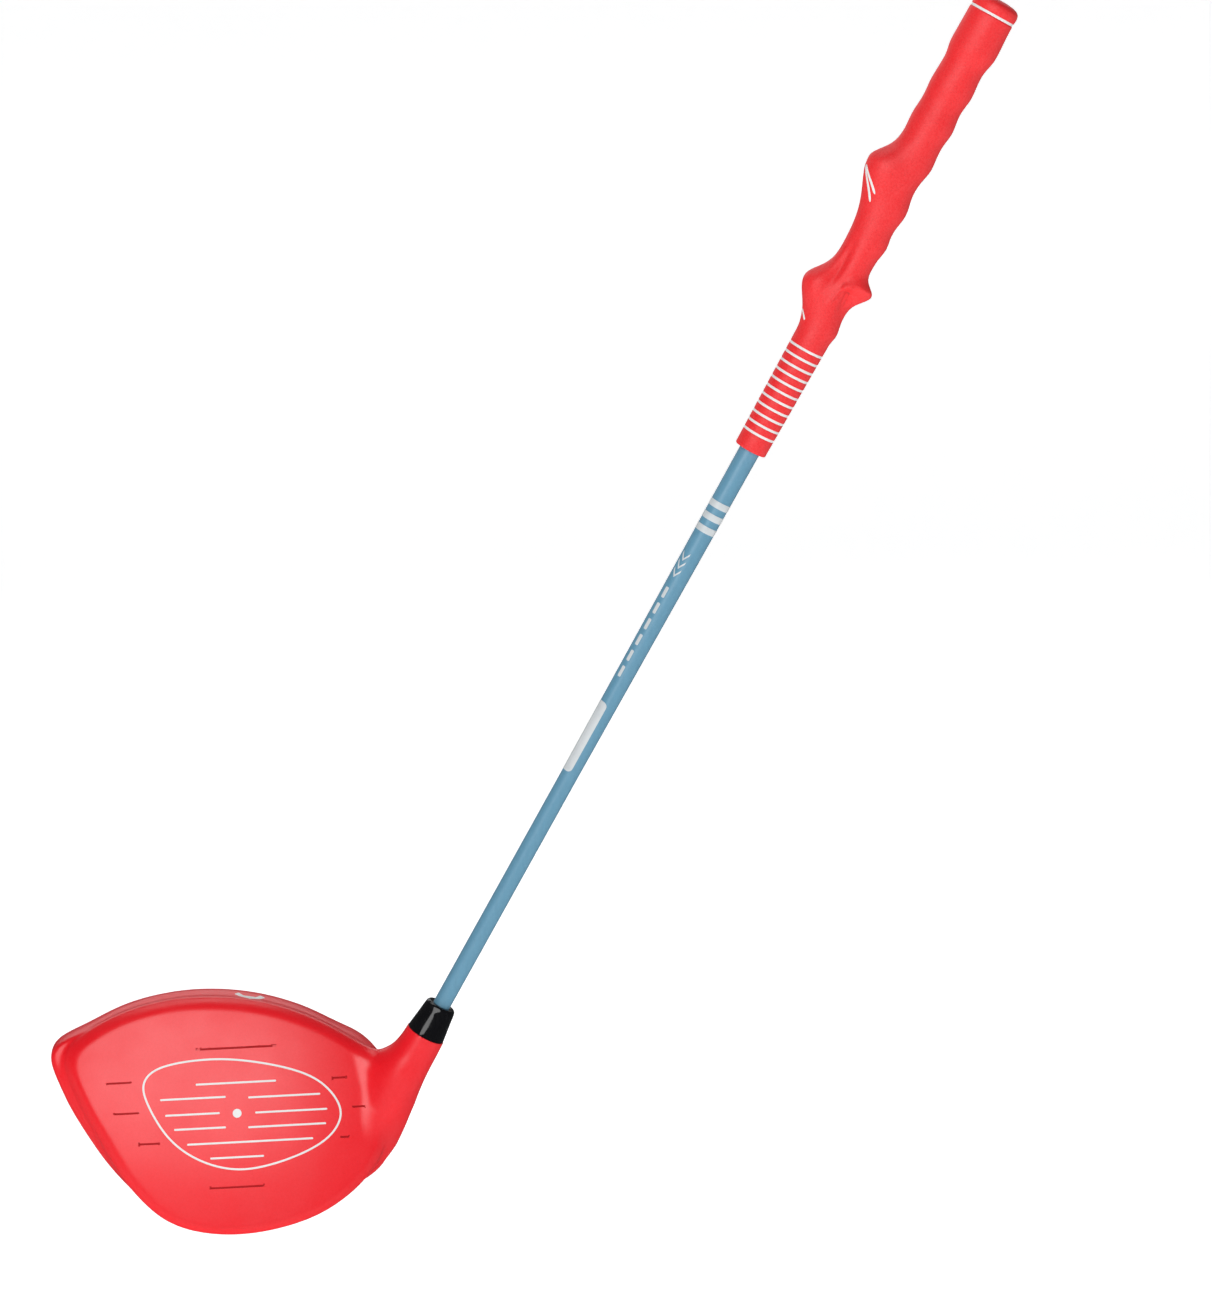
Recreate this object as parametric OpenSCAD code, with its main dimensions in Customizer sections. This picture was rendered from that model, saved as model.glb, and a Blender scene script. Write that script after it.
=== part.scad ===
// Junior golf club with an oversize hollow head and a moulded training grip.
// Address position: +Z up, the face looks along -Y, the toe is on the -X side.
// The origin is the point on the ground under the middle of the face.

/* [Club] */
// Distance along the shaft axis from the butt to the ground
club_length = 633; // [540:1:760]
// Angle between the shaft axis and the ground, in degrees
lie = 60; // [54:0.5:66]
// Where the shaft axis meets the ground, towards the heel from the face centre
heel_reach = 37.8; // [30:0.1:42]

/* [Shaft] */
// Outside diameter of the shaft under the grip
shaft_butt_d = 9.9; // [9:0.1:12]
// Outside diameter of the shaft at the head
shaft_tip_d = 8.05; // [7.5:0.05:9.3]
// Wall of the shaft tube
shaft_wall = 1; // [0.6:0.1:1.6]
// Where the taper starts, from the butt
taper_start = 190; // [150:5:230]
// Length of the taper
taper_len = 205; // [150:5:260]
// Depth of the shaft in the hosel
shaft_insert = 46; // [30:1:50]
// Number of painted bands round the shaft
band_count = 3; // [1:1:4]
// Distance from the grip's mouth to the first band
band_gap = 26.7; // [10:0.1:60]
// Width of a band
band_w = 3.1; // [2:0.1:4]
// Distance from one band to the next
band_pitch = 6.2; // [5:0.1:8]
// Distance from the start of the bands to the label
label_gap = 104.8; // [60:0.1:130]
// Length of the label
label_len = 36; // [20:1:50]
// Thickness of the bands and of the label
film_t = 0.1; // [0.05:0.05:0.2]

/* [Grip] */
// Length of the plain rubber past the last ring
mouth_len = 8.3; // [3:0.1:30]
// Outside radius of the plain ringed part, at its upper end
grip_ring_r = 8.15; // [7.6:0.05:9]
// Outside radius at the mouth
grip_mouth_r = 7.45; // [7:0.05:8]
// Thickness of the tape between the shaft and the rubber
tape_t = 0.25; // [0.15:0.05:0.4]
// How far the thumb fins stand up
fin_h = 8.5; // [4:0.5:10]
// How far the finger hook stands out
hook_h = 6; // [3:0.5:8]
// How far the finger ridges stand out
ridge_h = 1.4; // [0.6:0.1:2]
// Number of inlaid rings
ring_count = 11; // [3:1:14]
// Distance from the shaped rubber to the first ring
ring_gap = 4; // [3:0.1:9]
// Distance from one ring to the next
ring_pitch = 4.32; // [3:0.01:6]
// Width of a ring
ring_w = 1.2; // [0.8:0.1:1.6]
// Radial depth of a ring
ring_depth = 0.8; // [0.4:0.1:1.2]
// Vent hole through the butt cap
vent_d = 3; // [2:0.5:4]
// Where the cap meets the grip, from the butt
cap_len = 6.5; // [5.5:0.5:8]

/* [Ferrule and hosel] */
// Length of the ferrule
ferrule_len = 15.7; // [12:0.1:22]
// Step from the hosel in to the ferrule where they meet
ferrule_step = 0.3; // [0:0.05:0.8]
// Distance along the shaft axis from the top of the hosel to the ground
hosel_rise = 99.3; // [96:0.1:103]
// Outside radius of the hosel at its top
hosel_r = 9.25; // [9:0.05:10]
// Length of the hosel and its sleeve inside the head
hosel_len = 58; // [52:1:62]
// Outside radius of the sleeve inside the head
sleeve_out_r = 6.8; // [6:0.1:8]
// Thickness of the adhesive round the shaft tip
glue_t = 0.2; // [0.1:0.05:0.4]

/* [Head] */
// Loft of the face, in degrees
loft = 19; // [12:0.5:24]
// Radius of the face's curve, both across and up
bulge_r = 300; // [240:5:420]
// Size of the head across and up, with its marks and the place of its hosel
head_scale = 1; // [0.94:0.01:1.06]
// Depth of the head from the face to the tail
head_depth = 116; // [96:1:125]
// Wall of the crown and the sole
head_wall = 2.6; // [1.8:0.1:3.2]
// Wall of the face
face_wall = 4; // [3:0.1:5]
// Radius of the rounded edge round the face
edge_r = 5.5; // [4:0.5:7]
// Height of the face's middle above the ground, at a head_scale of 1
face_rise = 46.9; // [46.5:0.1:50]
// Where the face's middle lies, in front of the shaft axis when negative
face_y = -14; // [-18:0.5:-10]
// Depth of the face skirt, from the face to the seam
seam_depth = 9.5; // [7:0.5:12]

/* [Face marks] */
// Width of the painted lines
line_w = 0.95; // [0.7:0.05:1.4]
// Depth of the grooves in the face
line_depth = 0.6; // [0.4:0.1:1]
// Diameter of the centre dot
dot_d = 4; // [3:0.5:5]

/* [Hidden] */

red = "#f0303c";
white = "#f0f0f0";
blue = "#6c9cb8";
black = "#101012";

// Butt of the shaft axis in the club's frame
butt_x = heel_reach * head_scale + club_length * cos(lie);
butt_z = club_length * sin(lie);

// Rings of the grip's surface and points in each
grip_steps = 72;
grip_sides = 40;
shaped_end = 171;      // the shaped part ends and the ringed part begins, from the butt
ring_sink = 0.1;       // the rings lie this far below the rubber

// Places along the shaft axis, from the butt
ring_start = shaped_end + ring_gap;
grip_len = ring_start + (ring_count - 1) * ring_pitch + mouth_len;
band_start = grip_len + band_gap;
label_start = band_start + label_gap;
hosel_top = club_length - hosel_rise * head_scale;
ferrule_r = hosel_r - ferrule_step;

// Points round the head, and sections between the face and the tail
head_sides = 48;
tail_steps = 10;
skirt_depth = 24;      // depth of the widest section behind the face
skirt_fade = 70;       // depth at which the sections stand upright
face_z = face_rise * head_scale;
tail_h = -10 * head_scale;          // height of the tail's tip from the face centre
tail_x = -8 * head_scale;           // place of the tail's tip across the head
head_mid = [-6, 6] * head_scale;    // middle of the sections, across and up

// Outline of the face's edge, [across, up] from the face centre, from the toe over the crown
face_outline = [
    [-77, 38.5], [-65, 50], [-47, 58], [-27, 62], [-7, 62], [13, 59], [32, 52.5], [48, 44],
    [61, 34], [69, 19.5], [70, 3], [65, -14], [51, -30], [29, -42], [-3, -47], [-32, -40.5],
    [-51, -21.5], [-62.5, 0], [-71.5, 18.5]
];

// Outline of the widest section, with the same points
skirt_outline = [
    [-86, 36.5], [-68, 46.3], [-48, 54.8], [-27, 59], [-7, 59.2], [13, 56], [32, 49.3], [48, 40.2],
    [61, 31], [70, 18], [72, 2], [67.5, -15.5], [52.5, -32], [29, -43.5], [-3, -47.5], [-33, -42],
    [-56, -23], [-71.5, 0], [-81.5, 18]
];

// Outline of the painted target line on the face
ring_outline = [
    [-42, 25.6], [-33, 32.6], [-10, 34.9], [12, 32.1], [32, 26.1], [43, 17.6], [47.5, 6.6],
    [40, -4.4], [22, -12.4], [1, -16.1], [-17, -11.4], [-31, -0.9], [-40, 14.6]
];

// Painted score lines: [left end, right end, height]
score_lines = [
    [-18.3, 18.4, 23.6], [-34.7, -4.8, 17.4], [5.3, 38.2, 16.6], [-32.7, -7.8, 10.2],
    [8.2, 41.1, 9.6], [-28.9, -5.3, 3.6], [4.7, 40.3, 3.1], [-23.3, 34.1, -3.4],
    [-13.1, 11.4, -10.2]
];

// Plain grooves round the target line, in the same form
plain_grooves = [
    [-17.4, 19.1, 39.4], [-58.9, -47.6, 26], [-55.9, -44.3, 12], [-45.1, -35.6, -2.2],
    [44, 50.4, 23.5], [52.6, 58.5, 9.9], [46.9, 50.6, -3.6], [-13.7, 10.8, -23.7]
];

dot_h = 9.7 * head_scale;   // height of the face's dot from the face centre
groove_w = 0.7;        // width of the plain grooves
fine = 96;             // facets asked for on round parts
face_fn = 128;         // facets asked for on the face's ball

/* ---------- curves ---------- */

// A smooth closed curve through a list of points, at position t counted in points
function cr(a, b, c, d, t) = 0.5 * (2 * b + (c - a) * t + (2 * a - 5 * b + 4 * c - d) * t * t
    + (3 * b - a - 3 * c + d) * t * t * t);
function on_loop(pts, t) = let (n = len(pts), i = floor(t), f = t - i)
    cr(pts[(i + n - 1) % n], pts[i % n], pts[(i + 1) % n], pts[(i + 2) % n], f);
function loop_points(pts, n) = [for (k = [0:n - 1]) on_loop(pts, k * len(pts) / n)];
function smooth(t) = let (u = min(1, max(0, t))) u * u * (3 - 2 * u);
function hump(z, at, rise, fall) = let (w = z < at ? rise : fall) exp(-pow((z - at) / w, 2));

// A value looked up along a list of [place, value] pairs
function along(list, z, i = 0) = i >= len(list) - 2 || z < list[i + 1][0]
    ? let (a = list[i], b = list[i + 1], t = min(1, max(0, (z - a[0]) / (b[0] - a[0]))))
      a[1] + (b[1] - a[1]) * smooth(t)
    : along(list, z, i + 1);

// A closed solid from rings of points, each a list of the same length
module skin(rings) {
    n = len(rings[0]);
    m = len(rings);
    points = [for (r = rings) each r];
    sides = [for (j = [0:m - 2]) for (i = [0:n - 1]) let (k = (i + 1) % n)
        each [[j * n + i, (j + 1) * n + i, (j + 1) * n + k], [j * n + i, (j + 1) * n + k, j * n + k]]];
    ends = [[for (i = [0:n - 1]) i], [for (i = [n - 1:-1:0]) (m - 1) * n + i]];
    polyhedron(points, concat(sides, ends));
}

/* ---------- shaft and its fittings, along the shaft axis ---------- */

// Puts a part on the shaft axis: its z runs from the butt to the head, its +x is the thumb side
module on_shaft() {
    translate([butt_x, 0, butt_z]) rotate([0, 270 - lie, 0]) children();
}

function shaft_r(z) = let (t = min(1, max(0, (z - taper_start) / taper_len)))
    (shaft_butt_d + (shaft_tip_d - shaft_butt_d) * t) / 2;

shaft_top = 4;                              // the shaft starts inside the cap
shaft_end = hosel_top + shaft_insert;
taper_end = taper_start + taper_len;
sleeve_r = shaft_butt_d / 2 + tape_t;       // bore of the grip

module tube(r_out, r_in, z0, z1) {
    translate([0, 0, z0]) difference() {
        cylinder(r = r_out, h = z1 - z0, $fn = fine);
        translate([0, 0, -1]) cylinder(r = r_in, h = z1 - z0 + 2, $fn = fine);
    }
}

module shaft() color(blue) on_shaft() {
    ri = shaft_tip_d / 2 - shaft_wall;
    rotate_extrude($fn = fine) polygon([
        [shaft_butt_d / 2 - shaft_wall, shaft_top], [shaft_butt_d / 2, shaft_top],
        [shaft_butt_d / 2, taper_start], [shaft_tip_d / 2, taper_end],
        [shaft_tip_d / 2, shaft_end], [ri, shaft_end], [ri, taper_end],
        [shaft_butt_d / 2 - shaft_wall, taper_start]
    ]);
}

// A thin sleeve that follows the shaft's taper
module film(z0, z1, angle = 360) {
    rotate_extrude(angle = angle, $fn = fine) polygon([
        [shaft_r(z0), z0], [shaft_r(z0) + film_t, z0], [shaft_r(z1) + film_t, z1], [shaft_r(z1), z1]
    ]);
}

module shaft_band(i) color(white) on_shaft() {
    z0 = band_start + (i - 1) * band_pitch;
    film(z0, z0 + band_w);
}

label_turn = 100;       // how far the label wraps round the shaft, in degrees
label_from = -100;      // where it starts, from the thumb side

module shaft_label() color(white) on_shaft() {
    rotate([0, 0, label_from]) film(label_start, label_start + label_len, label_turn);
}

module ferrule() color(black) on_shaft() {
    z0 = hosel_top - ferrule_len;
    r0 = ferrule_r;
    rotate_extrude($fn = fine) polygon([
        [shaft_tip_d / 2, z0], [r0 - 2.9, z0], [r0 - 2.2, z0 + 0.5], [r0 - 1.75, z0 + 1.6],
        [r0 - 1.45, z0 + 4], [r0 - 0.95, z0 + 8], [r0 - 0.3, z0 + 13], [r0, hosel_top],
        [shaft_tip_d / 2, hosel_top]
    ]);
}

glue_r = shaft_tip_d / 2 + glue_t;

module shaft_adhesive() color("khaki") on_shaft() {
    tube(glue_r, shaft_tip_d / 2, hosel_top, shaft_end);
}

/* ---------- grip ---------- */

// Radius of the shaped rubber before fins, ridges and hook
grip_base = [
    [0, 10.4], [9, 10.5], [24, 10.6], [33, 9.45], [44, 9.8], [52, 9.3], [61, 9.8], [70, 9.3],
    [84, 8.9], [104, 8.7], [130, 8.5], [165, 8.15], [180, 8.15]
];

// Finger ridges on the underside: [place, share of the ridge height, half width]
finger_ridges = [
    [22, 0.3, 7], [43, 0.25, 5], [61, 0.3, 5], [80, 0.9, 6], [102, 1, 6.5], [119.5, 0.8, 5],
    [163.5, 0.7, 5]
];

fin_places = [87, 146.6];       // tops of the two thumb fins
fin_rise = [8.6, 8.9];          // their slopes towards the butt
fin_fall = [17, 11.5];          // their slopes towards the head
hook_at = 141;                  // top of the finger hook

function wrap(a) = a > 180 ? a - 360 : a;

// Radius of the rubber at place z, a degrees round from the thumb side
function grip_r(z, a) = let (
        top = pow(max(0, cos(a)), 2.2),
        under = pow(max(0, -cos(a)), 1.3),
        hook = exp(-pow(wrap(a - 180) / 42, 2)),
        fins = [for (k = [0:1]) hump(z, fin_places[k], fin_rise[k], fin_fall[k])],
        ridges = [for (r = finger_ridges) r[1] * hump(z, r[0], r[2], r[2])],
        waist = hump(z, 91, 11, 9) * 0.6 + hump(z, 154, 6, 8) * 0.3
    )
    along(grip_base, z) + fin_h * (fins[0] + fins[1]) * top
    + ridge_h * (ridges * [for (r = ridges) 1]) * under
    + hook_h * hump(z, hook_at, 4.4, 6.1) * hook - waist * under;

ring_step = cap_len + ring_w;   // the shaped rubber starts past the butt ring
butt_ring_r = 10.3;
spigot_r = 8.9;                 // the rubber's core inside the butt ring

function ringed_r(z) = grip_ring_r + (grip_mouth_r - grip_ring_r)
    * min(1, max(0, (z - shaped_end) / (grip_len - shaped_end)));

function ring_place(i) = ring_start + (i - 1) * ring_pitch;

module grip_shape() {
    skin([for (j = [0:grip_steps]) let (z = ring_step + (shaped_end + 1 - ring_step) * j / grip_steps)
        [for (i = [0:grip_sides - 1]) let (a = 360 * i / grip_sides, r = grip_r(z, a))
            [r * cos(a), r * sin(a), z]]]);
}

module grip_body() color(red) on_shaft() difference() {
    union() {
        grip_shape();
        translate([0, 0, cap_len]) cylinder(r = spigot_r, h = ring_w + 1, $fn = fine);
        rotate_extrude($fn = fine) polygon([
            [0, shaped_end], [grip_ring_r, shaped_end], [grip_mouth_r, grip_len - 0.8],
            [grip_mouth_r - 0.8, grip_len], [0, grip_len]
        ]);
    }
    translate([0, 0, cap_len - 1]) cylinder(r = sleeve_r, h = grip_len - cap_len + 2, $fn = fine);
    for (i = [1:ring_count]) {
        tube(grip_ring_r + 2, ringed_r(ring_place(i)) - ring_sink - ring_depth,
            ring_place(i) - ring_w / 2, ring_place(i) + ring_w / 2);
    }
}

module grip_ring(i) color(white) on_shaft() {
    r = ringed_r(ring_place(i)) - ring_sink;
    tube(r, r - ring_depth, ring_place(i) - ring_w / 2, ring_place(i) + ring_w / 2);
}

module butt_ring() color(white) on_shaft() tube(butt_ring_r, spigot_r, cap_len, ring_step);

module butt_cap() color(red) on_shaft() difference() {
    rotate_extrude($fn = fine) polygon([
        [0, 0], [4, 0.1], [7.5, 0.6], [9.2, 1.3], [10.2, 2.5], [10.8, 4.2], [10.75, 5.4],
        [10.4, cap_len], [0, cap_len]
    ]);
    translate([0, 0, -2]) cylinder(d = vent_d, h = cap_len + 4, $fn = fine);
    translate([0, 0, shaft_top]) cylinder(d = shaft_butt_d, h = cap_len, $fn = fine);
}

module grip_tape() color("tan") on_shaft() {
    tube(sleeve_r, shaft_butt_d / 2, cap_len, grip_len - 1);
}

/* ---------- head ---------- */

face_tilt = [0, sin(loft), cos(loft)];        // up the face
face_back = [0, cos(loft), -sin(loft)];       // into the head
face_mid = [0, face_y, face_z];

// How far the face's curve falls back at [across, up]
function fall_back(p) = bulge_r - sqrt(bulge_r * bulge_r - p[0] * p[0] - pow(p[1] - dot_h, 2));

// A point of the head: outline point p, at depth d behind the face
function head_point(p, d) = let (
        tilt = loft * (1 - smooth(d / skirt_fade)),
        back = fall_back(p) * (1 - smooth(d / skirt_depth))
    )
    [p[0], face_y + d + back * cos(tilt) + p[1] * sin(tilt), face_z + p[1] * cos(tilt) - back * sin(tilt)];

// Moves an outline point towards the middle of the head by t
function inward(p, t) = let (v = p - head_mid) head_mid + v * (1 - t / norm(v));

// Outline point k at depth d, in by t; the tail closes like an egg
function section(k, d, t) = let (
        at = k * len(face_outline) / head_sides,
        f = on_loop(face_outline, at) * head_scale,
        s = on_loop(skirt_outline, at) * head_scale,
        w = smooth(d / skirt_depth),
        p = f * (1 - w) + s * w,
        u = min(1, max(0, (d - skirt_depth) / (head_depth - skirt_depth))),
        across = pow(1 - pow(u, 2.3), 1 / 2.1),
        upward = p[1] > tail_h ? pow(1 - pow(u, 1.6), 1 / 1.7) : pow(1 - pow(u, 2.8), 1 / 1.8),
        q = [tail_x + (p[0] - tail_x) * across, tail_h + (p[1] - tail_h) * upward]
    )
    inward(q, min(t, 0.9 * norm(q - head_mid)));

function head_ring(d, t) = [for (k = [0:head_sides - 1]) head_point(section(k, d, t), d)];

// Depths of the sections: the rounded edge, the skirt, then closer together to the tail
function tail_depth(j, last) = skirt_depth + (last - skirt_depth) * sin(90 * j / tail_steps);

// The face, from its middle out to the rounded edge, set back by d
function face_ring_at(share, t, d) = [for (k = [0:head_sides - 1]) let (p = section(k, d, t))
    head_point(head_mid + (p - head_mid) * share, d)];

module head_form(t, front = 0) {
    last = head_depth - t;
    edge = t + edge_r;
    skin(concat(
        [for (share = [0.08, 0.3, 0.52, 0.74, 0.9]) face_ring_at(share, edge, front)],
        [for (a = [0:22.5:90]) head_ring(front + edge_r * (1 - cos(a)) * 0.9, t + edge_r * (1 - sin(a)))],
        [head_ring(skirt_depth * 0.6, t)],
        [for (j = [0:tail_steps - 1]) head_ring(tail_depth(j, last), t)],
        [[for (k = [0:head_sides - 1]) let (p = section(k, last - 0.8, t))
            head_point([tail_x, tail_h] + (p - [tail_x, tail_h]) * 0.55, last)]]
    ));
}

// The ball that the face is a part of, made smaller by t
module face_ball(t = 0) {
    translate(face_mid + dot_h * face_tilt + bulge_r * face_back) sphere(r = bulge_r - t, $fn = face_fn);
}

module head_cavity() head_form(head_wall, face_wall);

// Hosel: a flared neck on the shaft axis with a sleeve that reaches down inside the head
module hosel_form() rotate_extrude($fn = fine) polygon([
    [0, hosel_top], [hosel_r, hosel_top], [hosel_r + 0.2, hosel_top + 6],
    [hosel_r + 0.8, hosel_top + 20], [hosel_r + 1.4, hosel_top + 30],
    [sleeve_out_r, hosel_top + 36], [sleeve_out_r, hosel_top + hosel_len], [0, hosel_top + hosel_len]
]);

module hosel() color(red) on_shaft() difference() {
    hosel_form();
    translate([0, 0, hosel_top - 1]) cylinder(r = glue_r, h = shaft_insert + 1, $fn = fine);
}

seam_z = face_z + 36 * head_scale;      // height of the seam at the toe
seam_fall = 24;            // how steeply it falls to the tail, in degrees

// Everything behind the face skirt, which is as deep all round, and below the crown's seam
module sole_side() intersection() {
    face_ball(seam_depth);
    translate([0, 0, seam_z]) rotate([-seam_fall, 0, 0]) translate([-150, -150, -300]) cube(300);
}

// A shape drawn on the face, as a solid from `proud` in front of it to `depth` inside it
module in_face(depth, proud = 0) intersection() {
    translate(face_mid + 40 * face_back) rotate([90 - loft, 0, 0]) linear_extrude(60) children();
    difference() {
        face_ball(-proud);
        face_ball(depth);
    }
}

module bar(line, w) {
    x0 = line[0] + w / 2;
    x1 = line[1] - w / 2;
    translate([x0, line[2] - w / 2]) square([x1 - x0, w]);
    for (x = [x0, x1]) translate([x, line[2]]) circle(d = w, $fn = 24);
}

function normal_at(pts, k) = let (n = len(pts), v = pts[(k + 1) % n] - pts[(k + n - 1) % n])
    [v[1], -v[0]] / norm(v);

module loop_line(pts, w) {
    n = len(pts);
    difference() {
        polygon([for (k = [0:n - 1]) pts[k] - normal_at(pts, k) * w / 2]);
        polygon([for (k = [0:n - 1]) pts[k] + normal_at(pts, k) * w / 2]);
    }
}

module face_line(i) color(white) in_face(line_depth) bar(score_lines[i - 1] * head_scale, line_w);

module face_dot() color(white) in_face(line_depth) translate([0, dot_h]) circle(d = dot_d, $fn = 32);

module target_line() loop_line(loop_points(ring_outline * head_scale, 52), line_w);

module face_ring() color(white) in_face(line_depth) target_line();

module face_cuts() in_face(line_depth, 1) {
    target_line();
    for (line = score_lines) bar(line * head_scale, line_w);
    translate([0, dot_h]) circle(d = dot_d, $fn = 32);
    for (line = plain_grooves) bar(line * head_scale, groove_w);
}

// Alignment mark: an arrow head let into the crown, pointing at the face
mark_at = [8, 23];          // its middle, across and back
mark_w = 14;                // its width
mark_t = 2;                 // width of its strokes
mark_depth = 0.8;           // depth of its pocket

module mark_shape() difference() {
    translate([mark_at[0], mark_at[1], 0] * head_scale + [0, 0, face_z]) linear_extrude(80) polygon([
        [-mark_w / 2, 4], [0, -4], [mark_w / 2, 4], [mark_w / 2 - mark_t, 4 + mark_t],
        [0, -4 + mark_t * 1.6], [-mark_w / 2 + mark_t, 4 + mark_t]
    ]);
    head_form(mark_depth, mark_depth);
}

module crown_mark() color(white) intersection() {
    head_form(0);
    mark_shape();
}

// The two shells are free-form, so each is kept as one mesh
module one_mesh() resize([0, 0, 0]) children();

module face_crown_shell() color(red) one_mesh() difference() {
    head_form(0);
    head_cavity();
    sole_side();
    on_shaft() hosel_form();
    face_cuts();
    mark_shape();
}

module sole_shell() color(red) one_mesh() intersection() {
    difference() {
        head_form(0);
        head_cavity();
        on_shaft() hosel_form();
    }
    sole_side();
}

shaft();
grip_tape();
grip_body();
butt_cap();
butt_ring();
ferrule();
shaft_adhesive();
shaft_label();
hosel();
face_crown_shell();
sole_shell();
face_ring();
face_dot();
crown_mark();
for (i = [1:ring_count]) grip_ring(i);
for (i = [1:band_count]) shaft_band(i);
for (i = [1:9]) face_line(i);
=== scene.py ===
"""Junior golf driver with an oversize hollow head and a moulded training grip.

The club stands at address: +Z up, the face looks along -Y, the toe is on the -X side.
"""
import math

import bmesh
import bpy
import numpy as np
from mathutils import Matrix, Vector
from mathutils.bvhtree import BVHTree


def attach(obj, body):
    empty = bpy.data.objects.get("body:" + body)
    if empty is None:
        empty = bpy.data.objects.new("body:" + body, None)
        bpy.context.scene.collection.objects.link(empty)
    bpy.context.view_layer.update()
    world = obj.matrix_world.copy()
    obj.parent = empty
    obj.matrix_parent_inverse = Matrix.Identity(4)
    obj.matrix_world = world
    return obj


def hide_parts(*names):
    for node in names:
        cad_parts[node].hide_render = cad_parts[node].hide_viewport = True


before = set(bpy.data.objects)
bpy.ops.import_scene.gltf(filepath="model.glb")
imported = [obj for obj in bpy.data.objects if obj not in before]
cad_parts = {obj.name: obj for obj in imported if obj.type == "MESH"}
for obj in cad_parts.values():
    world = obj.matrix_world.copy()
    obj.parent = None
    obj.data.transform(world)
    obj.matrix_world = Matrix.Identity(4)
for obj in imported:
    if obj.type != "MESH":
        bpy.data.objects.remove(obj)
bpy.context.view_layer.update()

bl_info = {
    "name": "Junior Golf Driver",
    "version": (1, 0, 0),
    "blender": (4, 5, 0),
    "location": "View3D > Sidebar > Golf",
    "description": "Builds the pieces of a junior golf driver around its CAD frame",
    "category": "Object",
}

MM = 0.001
TAU = 2 * math.pi

# ---------------------------------------------------------------- places along the shaft, in mm
CAP_LEN = 6.5              # where the cap meets the grip, from the butt
RING_W = 1.2               # width of the groove of a white ring
BUTT_STEP_R = 8.9          # radius of the grip inside the ring at the butt
RING_START = 175.0
RING_PITCH = 4.32
RING_COUNT = 11
RING_DEEP = 0.9            # depth of the grooves for the rings
GRIP_BORE_R = 5.25         # radius of the bore at the grip's mouth
SHAPED_END = 171.0         # the ringed part of the grip starts here
GRIP_LEN = 226.5
RING_R = (8.15, 7.45)      # radius of the ringed part at its two ends
SHAFT_R = (4.95, 4.025)    # radius of the shaft under the grip and at the head
TAPER = (190.0, 395.0)     # where the shaft's taper starts and ends
SHAFT_SPAN = (4.0, 579.7)
SHAFT_WALL = 1.0
TAPE_R = (4.95, 5.2)       # inner and outer radius of the tape sleeve
RESIN_R = (4.03, 4.225)    # and of the resin sleeve
FILM_T = 0.1               # thickness of the bands and label
FILM_SINK = 0.02           # how far they reach into the shaft's paint
BAND_START = 253.2
BAND_W = 3.1
BAND_PITCH = 6.2
HOSEL_TOP = 533.7
FERRULE_LEN = 15.7
FERRULE_R = 8.95
FERRULE_BORE_R = 4.04
HOSEL_R = 9.2

# ---------------------------------------------------------------- the head's own shape, in mm
LOFT = math.radians(19)
BULGE_R = 300.0
FACE_Y = -14.0
FACE_Z = 46.9
DOT_H = 9.7
HEAD_DEPTH = 116.0
EDGE_R = 5.5
SKIRT_DEPTH = 24.0
SKIRT_FADE = 70.0
TAIL = (-8.0, -10.0)
HEAD_MID = np.array((-6.0, 6.0))
SEAM_DEPTH = 9.5
SEAM_Z = FACE_Z + 36.0
SEAM_FALL = math.radians(24)

FACE_OUTLINE = [
    (-77, 38.5), (-65, 50), (-47, 58), (-27, 62), (-7, 62), (13, 59), (32, 52.5), (48, 44),
    (61, 34), (69, 19.5), (70, 3), (65, -14), (51, -30), (29, -42), (-3, -47), (-32, -40.5),
    (-51, -21.5), (-62.5, 0), (-71.5, 18.5)]
SKIRT_OUTLINE = [
    (-84, 35), (-67, 44.6), (-48, 53.2), (-27, 57.5), (-7, 57.8), (13, 54.6), (32, 47.9),
    (48, 39), (61, 31), (70, 18), (72, 2), (68, -16), (53.8, -32.8), (30, -44.2),
    (-3, -47.5), (-33, -42), (-56, -23), (-71.5, 0), (-80, 17.6)]
TARGET_OUTLINE = [
    (-42, 25.6), (-33, 32.6), (-10, 34.9), (12, 32.1), (32, 26.1), (43, 17.6), (47.5, 6.6),
    (40, -4.4), (22, -12.4), (1, -16.1), (-17, -11.4), (-31, -0.9), (-40, 14.6)]
SCORE_LINES = [
    (-18.3, 18.4, 23.6), (-34.7, -4.8, 17.4), (5.3, 38.2, 16.6), (-32.7, -7.8, 10.2),
    (8.2, 41.1, 9.6), (-28.9, -5.3, 3.6), (4.7, 40.3, 3.1), (-23.3, 34.1, -3.4),
    (-13.1, 11.4, -10.2)]
PLAIN_GROOVES = [
    (-17.4, 19.1, 39.4), (-58.9, -47.6, 26), (-55.9, -44.3, 12), (-45.1, -35.6, -2.2),
    (44, 50.4, 23.5), (52.6, 58.5, 9.9), (46.9, 50.6, -3.6), (-13.7, 10.8, -23.7)]


# ================================================================ sizes and colours a user may change
class ClubSizes(bpy.types.PropertyGroup):
    """Sizes of the club"""
    length: bpy.props.FloatProperty(
        name="Length", description="From the butt to the ground along the shaft",
        default=0.633, min=0.5, max=0.8, unit="LENGTH")
    lie: bpy.props.FloatProperty(
        name="Lie", description="Angle between the shaft and the ground",
        default=math.radians(60), subtype="ANGLE")
    heel_reach: bpy.props.FloatProperty(
        name="Heel reach", description="Where the shaft's axis meets the ground",
        default=0.0378, unit="LENGTH")
    line_width: bpy.props.FloatProperty(
        name="Line width", description="Width of the painted score lines",
        default=0.00095, precision=5, unit="LENGTH")
    voxel: bpy.props.FloatProperty(
        name="Head mesh size", description="Size of a mesh cell on the head",
        default=0.0009, precision=5, unit="LENGTH")


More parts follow.
